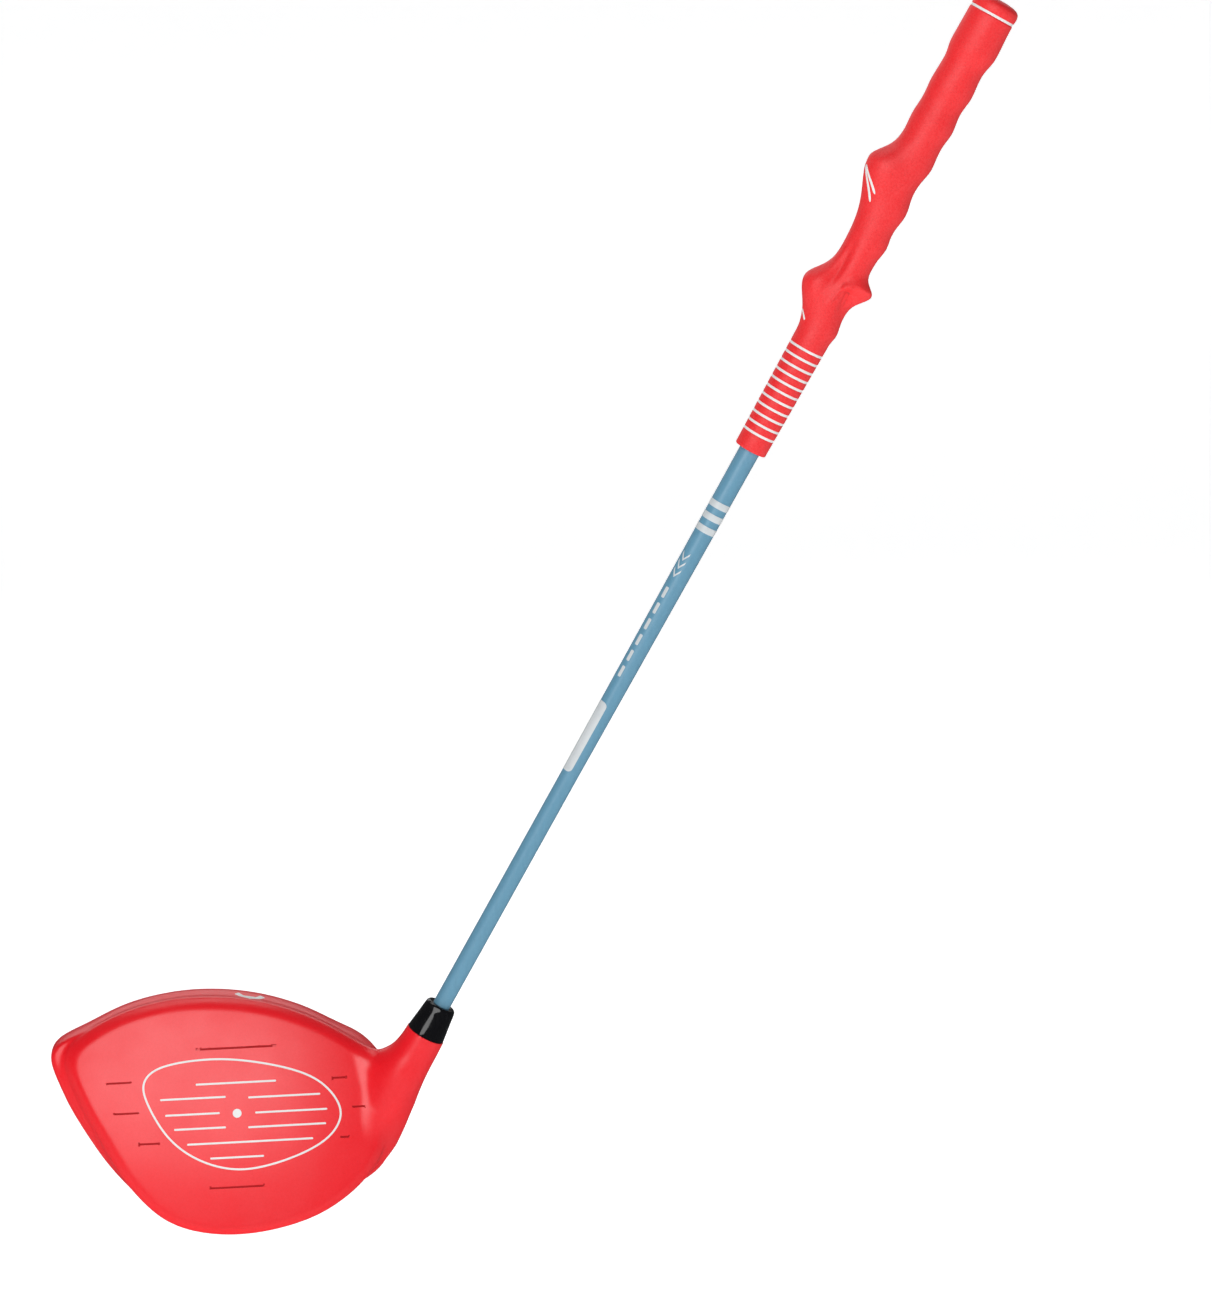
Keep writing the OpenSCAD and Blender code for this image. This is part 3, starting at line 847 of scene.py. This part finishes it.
SEAM_W = 0.35       # width of the gap between the two shells
SEAM_CUT = 0.4      # its depth
GROOVE_DEPTH = 0.7
GROOVE_W = 0.9      # width of the plain grooves
DOT_D = 4.1
TOOL_TOP = 2.0      # how far the groove tools stand out of the face
HEAD_SHARP = 28.0   # edges of the head sharper than this many degrees stay sharp
PAINT_TOP = -0.08   # the paint lies this far under the face
PAINT_GAP = 0.02    # between the paint and its groove
DOT_GAP = 0.03


def seam_ring(head):
    """A thin ring that follows the seam just under the head's surface."""
    ring = boolean(linked("seam", sole_wedge(SEAM_W / 2)), sole_wedge(-SEAM_W / 2), "DIFFERENCE")
    return boolean(linked("seam", ring), copy_shrunk(head, SEAM_CUT * MM), "DIFFERENCE")


def shade_grooves(shell):
    """Gives the faces inside the plain grooves the darker red of painted shade."""
    n = len(shell.polygons)
    mid = np.empty(n * 3)
    shell.polygons.foreach_get("center", mid)
    mid = mid.reshape(-1, 3)
    slot = np.zeros(n, dtype=np.int32)
    for a, b, h in PLAIN_GROOVES:
        ends = on_face((a, (a + b) / 2, b), (h, h, h), (0, 0, 0))
        across = (ends[2] - ends[0]) / np.linalg.norm(ends[2] - ends[0])
        gap = mid - ends[1]
        along = gap @ across
        up = np.cross(across, (0, -1, 0))
        side = gap @ (up / np.linalg.norm(up))
        depth = (ends[1] + along[:, None] * across - mid)[:, 1]
        near = (abs(along) < (b - a) / 2 * MM) & (abs(side) < 0.49 * GROOVE_W * MM)
        slot[near & (mid[:, 1] < 0.01) & (abs(depth) < 2 * MM)] = 1
    shell.polygons.foreach_set("material_index", slot)


class GOLF_OT_head(bpy.types.Operator):
    """Builds the face and crown moulding and the sole moulding"""
    bl_idname = "golf.head"
    bl_label = "Head"

    def execute(self, context):
        head = blended_head()
        face_outward(head)
        head = boolean(linked("head", head), seam_ring(head), "DIFFERENCE")
        w = sizes().line_width / MM
        tools = [bar(a, b, h, w, -GROOVE_DEPTH, TOOL_TOP) for a, b, h in SCORE_LINES]
        tools += [bar(a, b, h, GROOVE_W, -GROOVE_DEPTH, TOOL_TOP + 1) for a, b, h in PLAIN_GROOVES]
        tools.append(plate(disc_outline(DOT_H, DOT_D), -GROOVE_DEPTH, TOOL_TOP))
        tools.append(band_round(target_curve(), w, -GROOVE_DEPTH, TOOL_TOP))
        head = boolean(linked("head", head), joined("face_tools", tools), "DIFFERENCE")
        sole = boolean(linked("sole", head.copy()), sole_wedge(0), "INTERSECT")
        shell = boolean(linked("shell", head), sole_wedge(0), "DIFFERENCE")
        front = new_piece("head_face_and_crown", shell, head_plastic(),
                          ["face_crown_shell", "hosel"], HEAD_SHARP)
        # The second slot is the painted shade for the floors of the plain grooves
        front.data.materials.append(groove_red())
        shade_grooves(front.data)
        new_piece("head_sole", sole, head_plastic(), ["sole_shell"], HEAD_SHARP)
        return {"FINISHED"}


def paint_piece(name, shape, node):
    """A piece of white paint from its (verts, faces)."""
    new_piece(name, new_mesh(name, *shape), line_paint(), [node])


class GOLF_OT_face_paint(bpy.types.Operator):
    """Fills the face's grooves with paint"""
    bl_idname = "golf.face_paint"
    bl_label = "Face paint"

    def execute(self, context):
        w = sizes().line_width / MM - 2 * PAINT_GAP
        span = (-GROOVE_DEPTH + PAINT_GAP, PAINT_TOP)
        for k, (a, b, h) in enumerate(SCORE_LINES, 1):
            paint_piece(f"score_line_{k}", bar(a + PAINT_GAP, b - PAINT_GAP, h, w, *span),
                        f"face_line_{k}")
        paint_piece("centre_dot", plate(disc_outline(DOT_H, DOT_D - 2 * DOT_GAP), *span), "face_dot")
        paint_piece("target_line", band_round(target_curve(), w, *span), "face_ring")
        return {"FINISHED"}


# ================================================================ the crown's alignment mark
MARK = [(-7, 4), (0, -4), (7, 4), (5, 6), (0, -0.8), (-5, 6)]
MARK_AT = (8, 19)
MARK_PROUD = 0.06   # the mark's top over the crown
MARK_T = 0.3        # its thickness
ABOVE_HEAD = 0.3    # height, in metres, from which the mark is laid on the crown


class GOLF_OT_crown_mark(bpy.types.Operator):
    """Paints the alignment mark on the crown"""
    bl_idname = "golf.crown_mark"
    bl_label = "Crown mark"

    def execute(self, context):
        head = bpy.data.objects["head_face_and_crown"]
        tree = BVHTree.FromObject(head, context.evaluated_depsgraph_get())
        pts = rounded_profile([(x + MARK_AT[0], y + MARK_AT[1]) for x, y in MARK], 0.5, 3)
        dense = []
        for k, p in enumerate(pts):
            q = pts[(k + 1) % len(pts)]
            steps = max(1, int(np.linalg.norm(q - p) / 0.5))
            dense += [p + (q - p) * i / steps for i in range(steps)]
        paint_piece("alignment_mark", draped(np.array(dense), tree), "crown_mark")
        return {"FINISHED"}


def draped(outline, tree):
    """A thin closed plate of an (x, y) outline laid on a surface from above, in mm."""
    bm = bmesh.new()
    made = [bm.verts.new((x * MM, y * MM, 0)) for x, y in outline]
    bm.faces.new(made)
    bmesh.ops.triangulate(bm, faces=bm.faces)
    bmesh.ops.subdivide_edges(bm, edges=bm.edges, cuts=2, use_grid_fill=True)
    bmesh.ops.triangulate(bm, faces=bm.faces)
    for v in bm.verts:
        hit, normal, _, _ = tree.ray_cast(Vector((v.co.x, v.co.y, ABOVE_HEAD)), Vector((0, 0, -1)))
        if hit is None:
            raise RuntimeError("the mark misses the crown")
        v.co = hit + normal * MARK_PROUD * MM
    made = bmesh.ops.extrude_face_region(bm, geom=bm.faces[:])
    low = [g for g in made["geom"] if isinstance(g, bmesh.types.BMVert)]
    bmesh.ops.translate(bm, verts=low, vec=(0, 0, -MARK_T * MM))
    bmesh.ops.recalc_face_normals(bm, faces=bm.faces)
    verts = np.array([v.co[:] for v in bm.verts])
    bm.verts.index_update()
    faces = [tuple(v.index for v in f.verts) for f in bm.faces]
    bm.free()
    return verts, faces


# ================================================================ shaft, ferrule and films
class GOLF_OT_shaft(bpy.types.Operator):
    """Builds the tapered shaft"""
    bl_idname = "golf.shaft"
    bl_label = "Shaft"

    def execute(self, context):
        z0, z1 = SHAFT_SPAN
        inner = [r - SHAFT_WALL for r in SHAFT_R]
        corners = [(inner[0], z0), (SHAFT_R[0], z0)]
        corners += [(shaft_radius(z), z, 0) for z in np.linspace(z0 + 6, z1 - 6, 60)]
        corners += [(SHAFT_R[1], z1), (inner[1], z1), (inner[1], TAPER[1], 0),
                    (inner[0], TAPER[0], 0)]
        turned_piece("shaft_tube", corners, 0.15, shaft_paint(), ["shaft"])
        for name, (r0, r1), a, b, material, slot, node in (
                ("tape_sleeve", TAPE_R, CAP_LEN, GRIP_LEN - 1, inner_tape(), "tape", "grip_tape"),
                ("resin_sleeve", RESIN_R, HOSEL_TOP, z1, cured_resin(), "adhesive",
                 "shaft_adhesive")):
            turned_piece(name, [(r0, a), (r1, a), (r1, b), (r0, b)], 0.03, material, [node])
        return {"FINISHED"}


def film_ring(name, z0, z1, node):
    r0, r1 = shaft_radius(z0), shaft_radius(z1)
    corners = [(r0 - FILM_SINK, z0), (r0 + FILM_T, z0), (r1 + FILM_T, z1), (r1 - FILM_SINK, z1)]
    turned_piece(name, corners, 0.05, printed_film(), [node])


def shaft_patch(name, outline, nodes=()):
    """A thin closed film on the shaft from an outline of (angle, z) points, in degrees and mm."""
    bm = bmesh.new()
    made = [bm.verts.new((a, z, 0)) for a, z in outline]
    bm.faces.new(made)
    bmesh.ops.triangulate(bm, faces=bm.faces)
    for _ in range(3):
        long = [e for e in bm.edges if abs(e.verts[0].co.x - e.verts[1].co.x) > 7]
        if not long:
            break
        bmesh.ops.subdivide_edges(bm, edges=long, cuts=1)
        bmesh.ops.triangulate(bm, faces=bm.faces)
    flat = [(v.co.x, v.co.y) for v in bm.verts]
    bm.verts.index_update()
    top = [tuple(v.index for v in f.verts) for f in bm.faces]
    edge = [tuple(v.index for v in e.verts) for e in bm.edges if len(e.link_faces) == 1]
    bm.free()
    n = len(flat)
    verts = [ring_at(shaft_radius(z) + lift, a, z) for lift in (FILM_T, -FILM_SINK) for a, z in flat]
    faces = top + [tuple(k + n for k in reversed(f)) for f in top]
    faces += [(a, b, b + n, a + n) for a, b in edge]
    new_piece(name, new_mesh(name, on_shaft(verts), faces), printed_film(), nodes, 40)


def rounded_rectangle(a0, a1, z0, z1, radius, per_degree):
    """A rectangle with round corners in (angle, z); radius in mm, per_degree in mm."""
    out = []
    for a, z, start in ((a1, z1, 0), (a0, z1, 90), (a0, z0, 180), (a1, z0, 270)):
        ca = a - math.copysign(radius / per_degree, a - (a0 + a1) / 2)
        cz = z - math.copysign(radius, z - (z0 + z1) / 2)
        for k in range(7):
            w = math.radians(start + 15 * k)
            out.append((ca + radius / per_degree * math.cos(w), cz + radius * math.sin(w)))
    return out


LABEL = (-78, 22, 358, 394, 2.2, 0.071)     # angles, places, corner radius and mm in a degree
CHEVRON_START = 280.0
CHEVRON_PITCH = 4.2
CHEVRON = [(-72, 0), (-47, 3.2), (-22, 0), (-22, 1.3), (-47, 4.5), (-72, 1.3)]
DASH_START = 298.0
DASH_PITCH = 8.2
DASH_LEN = 5.4


class GOLF_OT_shaft_films(bpy.types.Operator):
    """Builds the bands, the plain label, the chevrons and the dashes printed on the shaft"""
    bl_idname = "golf.shaft_films"
    bl_label = "Bands and label"

    def execute(self, context):
        for k in range(3):
            z = BAND_START + k * BAND_PITCH
            film_ring(f"band_{k + 1}", z, z + BAND_W, f"shaft_band_{k + 1}")
        shaft_patch("label", rounded_rectangle(*LABEL), ["shaft_label"])
        for k in range(3):
            z = CHEVRON_START + k * CHEVRON_PITCH
            shaft_patch(f"chevron_{k + 1}", [(a, z + rise) for a, rise in CHEVRON])
        for k in range(6):
            z = DASH_START + k * DASH_PITCH
            shaft_patch(f"dash_{k + 1}", rounded_rectangle(-58, -36, z, z + DASH_LEN, 0.5, 0.076))
        return {"FINISHED"}


class GOLF_OT_ferrule(bpy.types.Operator):
    """Builds the black ferrule over the joint of shaft and head"""
    bl_idname = "golf.ferrule"
    bl_label = "Ferrule"

    def execute(self, context):
        z0 = HOSEL_TOP - FERRULE_LEN
        r, bore = FERRULE_R, FERRULE_BORE_R
        corners = [(bore, z0 + 0.15, 0.1), (r - 2.75, z0, 0.5), (r - 2.0, z0 + 0.7, 0.8),
                   (r - 1.6, z0 + 2.4, 1.5), (r - 1.35, z0 + 5, 2), (r - 0.9, z0 + 8.6, 2),
                   (r - 0.3, z0 + 13, 2), (r, HOSEL_TOP - 0.02, 0.25), (bore, HOSEL_TOP - 0.02, 0.1)]
        turned_piece("ferrule_cone", corners, 0.3, ferrule_plastic(), ["ferrule"],
                     160)
        return {"FINISHED"}


# ================================================================ the grip
# Places and radii of the rubber, then (place, share of the height, width) of the finger ridges
# and (place, rise, fall) of the thumb fins
GRIP_BASE = [(0, 10.4), (9, 10.5), (24, 10.6), (33, 9.45), (44, 9.8), (52, 9.3), (61, 9.8),
             (70, 9.3), (84, 8.9), (104, 8.7), (130, 8.5), (165, 8.15), (180, 8.15)]
RIDGES = [(22, 0.3, 7), (43, 0.25, 5), (61, 0.3, 5), (80, 0.9, 6), (102, 1, 6.5), (119.5, 0.8, 5),
          (163.5, 0.7, 5)]
FINS = [(87.0, 8.6, 17.0), (146.6, 8.9, 11.5)]
FIN_H = 8.5
RIDGE_H = 1.4
HOOK_AT = 141.0
HOOK_H = 6.0
GRIP_MIN_R = 6.3     # keeps rubber over the tape
GRIP_SIDES = 200
GRIP_ROWS = 380


def hump(z, at, rise, fall):
    """A smooth hill of height 1, with its own width on each side."""
    return np.exp(-((z - at) / np.where(z < at, rise, fall)) ** 2)


def smooth_along(pairs, z):
    """A smooth line through (place, value) pairs."""
    out = np.full_like(z, pairs[0][1])
    for (za, a), (zb, b) in zip(pairs, pairs[1:]):
        out = np.where(z >= za, a + (b - a) * smoothstep((z - za) / (zb - za)), out)
    return out


def grip_radius(z, a):
    """Radius of the rubber at place z, a degrees round from the thumb side."""
    c = np.cos(np.radians(a))
    away = a % 360 - 180
    top = np.maximum(0, c) ** 2.2
    under = np.maximum(0, -c) ** 1.3
    r = smooth_along(GRIP_BASE, z)
    for at, rise, fall in FINS:
        r = r + FIN_H * hump(z, at, rise, fall) * top
    for at, share, width in RIDGES:
        r = r + RIDGE_H * share * hump(z, at, width, width) * under
    r = r - (hump(z, 91, 11, 9) * 0.6 + hump(z, 154, 6, 8) * 0.3) * under
    r = r + HOOK_H * hump(z, HOOK_AT, 4.4, 6.1) * np.exp(-(away / 42) ** 2)
    return np.maximum(r + finger_seat(z, np.abs((a + 180) % 360 - 180)), GRIP_MIN_R)


def finger_seat(z, turn):
    """The lip and the scooped seat on each side of the hook; turn counts from the thumb side."""
    lip_z = 142.4 - 3.0 * smoothstep((turn - 88) / 34)
    lip = 1.6 * hump(z, lip_z, 3.2, 1.2) * smoothstep((turn - 80) / 16) \
        * (1 - smoothstep((turn - 150) / 26))
    edge_turn = 86 - 1.5 * (z - 143)
    edge = 0.9 * hump(turn, edge_turn, 8, 5) * smoothstep((z - 140) / 3) \
        * (1 - smoothstep((z - 148) / 8))
    scoop = 3.0 * hump(z, 144.4, 2.0, 9.5) * hump(turn, 124, 26, 30)
    valley = 2.2 * hump(z, 140, 13, 10) * hump(turn, 46, 12, 17)
    return lip + edge - scoop - valley


def ringed_radius(z):
    t = np.clip((z - SHAPED_END) / (GRIP_LEN - SHAPED_END), 0, 1)
    return RING_R[0] + (RING_R[1] - RING_R[0]) * t


def ring_profile():
    """Radii and places down the ringed part, with a groove at each ring and a round mouth."""
    out = [(ringed_radius(SHAPED_END + 1.5), SHAPED_END + 1.5)]
    half = RING_W / 2
    for k in range(RING_COUNT):
        z = RING_START + k * RING_PITCH
        r = float(ringed_radius(z))
        deep = r - RING_DEEP
        out += [(r, z - half, 0.12), (deep, z - half, 0), (deep, z + half, 0), (r, z + half, 0.12)]
    out += [(RING_R[1], GRIP_LEN, 0.9), (GRIP_BORE_R, GRIP_LEN)]
    return rounded_profile(out, 0.1, 3, closed=False)


class GOLF_OT_grip(bpy.types.Operator):
    """Builds the moulded rubber grip"""
    bl_idname = "golf.grip"
    bl_label = "Grip"

    def execute(self, context):
        a = np.arange(GRIP_SIDES) * 360.0 / GRIP_SIDES
        z0 = CAP_LEN + RING_W
        bevel, join_len = 0.35, 8
        shaped = np.concatenate([[z0], np.linspace(z0 + bevel, SHAPED_END, GRIP_ROWS)])
        zz, aa = np.meshgrid(shaped, a, indexing="ij")
        r = grip_radius(zz, aa)
        r[0] -= bevel
        join = smoothstep((zz - (SHAPED_END - join_len)) / join_len)
        r = r * (1 - join) + ringed_radius(zz) * join
        start = [(TAPE_R[1] + 0.02, CAP_LEN), (BUTT_STEP_R, CAP_LEN), (BUTT_STEP_R, z0)]
        rows = [ring_at(radius, a, z) for radius, z in start]
        rows += [ring_at(radius, a, z) for radius, z in zip(r, shaped)]
        rows += [ring_at(radius, a, z) for radius, z in ring_profile()]
        verts, faces = torus_like(rows)
        new_piece("grip_rubber_body", new_mesh("grip_rubber_body", on_shaft(verts), faces),
                  grip_rubber(), ["grip_body"], 50)
        return {"FINISHED"}


class GOLF_OT_grip_rings(bpy.types.Operator):
    """Builds the white rings let into the grip"""
    bl_idname = "golf.grip_rings"
    bl_label = "Grip rings"

    def execute(self, context):
        for k in range(RING_COUNT):
            z = RING_START + k * RING_PITCH
            r = float(ringed_radius(z)) - 0.1
            corners = [(r - 0.78, z - 0.58), (r, z - 0.58), (r, z + 0.58), (r - 0.78, z + 0.58)]
            turned_piece(f"white_ring_{k + 1}", corners, 0.12, ring_rubber(),
                         [f"grip_ring_{k + 1}"])
        z0, z1 = CAP_LEN + 0.02, CAP_LEN + RING_W - 0.02
        turned_piece("white_butt_ring", [(8.92, z0), (10.3, z0), (10.3, z1), (8.92, z1)], 0.15,
                     ring_rubber(), ["butt_ring"])
        return {"FINISHED"}


class GOLF_OT_butt_cap(bpy.types.Operator):
    """Builds the rubber cap with its vent hole"""
    bl_idname = "golf.butt_cap"
    bl_label = "Butt cap"

    def execute(self, context):
        corners = [(1.5, 0.05, 0.35), (4, 0.1, 2), (7.5, 0.6, 2), (9.4, 1.4, 0.8), (10.35, 2.5, 0.5),
                   (10.7, 4.2, 1), (10.6, 5.4, 0.8), (10.4, CAP_LEN, 0.15), (4.97, CAP_LEN, 0.1),
                   (4.97, 4.0, 0.1), (1.5, 4.0, 0.1)]
        turned_piece("cap_rubber", corners, 0.3, grip_rubber(), ["butt_cap"], 160, 50)
        return {"FINISHED"}


# Where the strokes on one side of the grip start and end; the other side mirrors them
THUMB_MARKS = [((-4, 91), (-38, 104)), ((-5, 90.4), (-42, 100)), ((-3, 159.8), (-28, 163.5))]
THUMB_MARK_W = 1.15


def grip_stroke(name, start, end, width):
    """A white stroke let into the grip, between two (angle, z) places."""
    start, end = np.array(start), np.array(end)
    section = ((-1, -0.5), (1, -0.5), (1, 0.06), (0.6, 0.16), (-0.6, 0.16), (-1, 0.06))
    rows = []
    for t in np.linspace(0, 1, 24):
        mid = start * (1 - t) + end * t
        taper = math.sqrt(max(1 - (2 * t - 1) ** 8, 0.03))
        r = float(grip_radius(mid[1], mid[0]))
        da, dz = math.radians(end[0] - start[0]) * r, end[1] - start[1]
        across = np.array((dz, -da)) / math.hypot(da, dz) * width / 2 * taper
        ring = []
        for side, lift in section:
            a = mid[0] + math.degrees(across[0] * side / r)
            z = mid[1] + across[1] * side
            ring.append(ring_at(float(grip_radius(z, a)) + lift, a, z))
        rows.append(ring)
    verts, faces = lofted(rows)
    new_piece(name, new_mesh(name, on_shaft(verts), faces), line_paint(), (), 50)


class GOLF_OT_grip_marks(bpy.types.Operator):
    """Draws the white thumb marks on the grip's fins"""
    bl_idname = "golf.grip_marks"
    bl_label = "Thumb marks"

    def execute(self, context):
        marks = THUMB_MARKS + [((-a0, z0), (-a1, z1)) for (a0, z0), (a1, z1) in THUMB_MARKS]
        for k, (start, end) in enumerate(marks, 1):
            grip_stroke(f"thumb_mark_{k}", start, end, THUMB_MARK_W)
        return {"FINISHED"}


# ================================================================ camera, light and floor
CAMERA_AT = Vector((0.0111, -1.940, 0.7441))
CAMERA_TO = Vector((0.1745, 0.0, 0.2653))
CAMERA_ROLL = math.radians(-1.35)
LENS = 124.4
WORLD_COLOUR = (0.9, 0.92, 0.95, 1)
WORLD_STRENGTH = 0.07
# name, place, aim, width and length, and power of each soft light
LIGHTS = (
    ("key", (-0.45, -2.1, 1.15), (0.05, 0, 0.2), (2.2, 1.5), 38),
    ("top", (-0.1, 0.5, 2.0), (0.05, 0, 0.2), (1.6, 1.0), 8),
    ("back", (0.1, 2.3, 1.35), (0, 0, 0.05), (3.0, 1.5), 14))


def point_camera(obj, at, to, roll):
    """Places a camera or light so that its -Z points at a place, with a roll."""
    fwd = (to - at).normalized()
    right = fwd.cross(Vector((0, 0, 1))).normalized()
    up = right.cross(fwd)
    c, s = math.cos(roll), math.sin(roll)
    x, y = right * c + up * s, up * c - right * s
    obj.matrix_world = Matrix((
        (x.x, y.x, -fwd.x, at.x), (x.y, y.y, -fwd.y, at.y), (x.z, y.z, -fwd.z, at.z), (0, 0, 0, 1)))


def area_light(name, at, to, size, power):
    data = bpy.data.lights.new(name, "AREA")
    data.shape = "RECTANGLE"
    data.size, data.size_y = size
    data.energy = power
    point_camera(linked(name, data), Vector(at), Vector(to), 0)


class GOLF_OT_stage(bpy.types.Operator):
    """Sets up the camera, the soft lights and the pale floor"""
    bl_idname = "golf.stage"
    bl_label = "Stage"

    def execute(self, context):
        scene = context.scene
        data = bpy.data.cameras.new("camera")
        data.lens = LENS
        data.sensor_width = 36
        data.clip_start, data.clip_end = 0.05, 60
        cam = linked("camera", data)
        point_camera(cam, CAMERA_AT, CAMERA_TO, CAMERA_ROLL)
        scene.camera = cam
        scene.view_settings.view_transform = "Standard"
        world = bpy.data.worlds.new("studio")
        world.use_nodes = True
        background = world.node_tree.nodes["Background"]
        background.inputs["Color"].default_value = WORLD_COLOUR
        background.inputs["Strength"].default_value = WORLD_STRENGTH
        scene.world = world
        for light in LIGHTS:
            area_light(*light)
        self.floor()
        return {"FINISHED"}

    def floor(self):
        """A pale sweep: flat under the club and curved up far behind it."""
        level, back, bend, height, half = -0.45, 9.0, 3.0, 9.0, 16.0
        line = [(-9.0, level), (back - bend, level)]
        line += [(back - bend + bend * math.sin(t), level + bend * (1 - math.cos(t)))
                 for t in np.linspace(0.1, math.pi / 2, 16)]
        line.append((back, height))
        verts = [(x, y, z) for y, z in line for x in (-half, half)]
        faces = [(2 * k, 2 * k + 1, 2 * k + 3, 2 * k + 2) for k in range(len(line) - 1)]
        mesh = new_mesh("floor_sweep", verts, faces)
        mesh.shade_smooth()
        obj = linked("floor_sweep", mesh)
        obj.data.materials.append(studio_floor())
        obj.visible_glossy = False
        return obj


class GOLF_PT_panel(bpy.types.Panel):
    """Lists the club's sizes, colours and builders"""
    bl_idname = "GOLF_PT_panel"
    bl_label = "Junior golf driver"
    bl_space_type = "VIEW_3D"
    bl_region_type = "UI"
    bl_category = "Golf"

    def draw(self, context):
        layout = self.layout
        for group in (context.scene.club_sizes, context.scene.club_colours):
            for key in group.__annotations__:
                layout.prop(group, key)
        for operator in OPERATORS:
            layout.operator(operator.bl_idname)


OPERATORS = (
    GOLF_OT_stage, GOLF_OT_head, GOLF_OT_face_paint, GOLF_OT_crown_mark, GOLF_OT_ferrule,
    GOLF_OT_shaft, GOLF_OT_shaft_films, GOLF_OT_grip, GOLF_OT_grip_rings, GOLF_OT_grip_marks,
    GOLF_OT_butt_cap)
CLASSES = (ClubSizes, ClubColours, *OPERATORS, GOLF_PT_panel)


def register():
    for cls in CLASSES:
        bpy.utils.register_class(cls)
    bpy.types.Scene.club_sizes = bpy.props.PointerProperty(type=ClubSizes)
    bpy.types.Scene.club_colours = bpy.props.PointerProperty(type=ClubColours)


def unregister():
    del bpy.types.Scene.club_colours
    del bpy.types.Scene.club_sizes
    for cls in reversed(CLASSES):
        bpy.utils.unregister_class(cls)


def main():
    register()
    bpy.ops.golf.stage()
    bpy.ops.golf.head()
    bpy.ops.golf.face_paint()
    bpy.ops.golf.crown_mark()
    bpy.ops.golf.ferrule()
    bpy.ops.golf.shaft()
    bpy.ops.golf.shaft_films()
    bpy.ops.golf.grip()
    bpy.ops.golf.grip_rings()
    bpy.ops.golf.grip_marks()
    bpy.ops.golf.butt_cap()


if __name__ == "__main__":
    main()
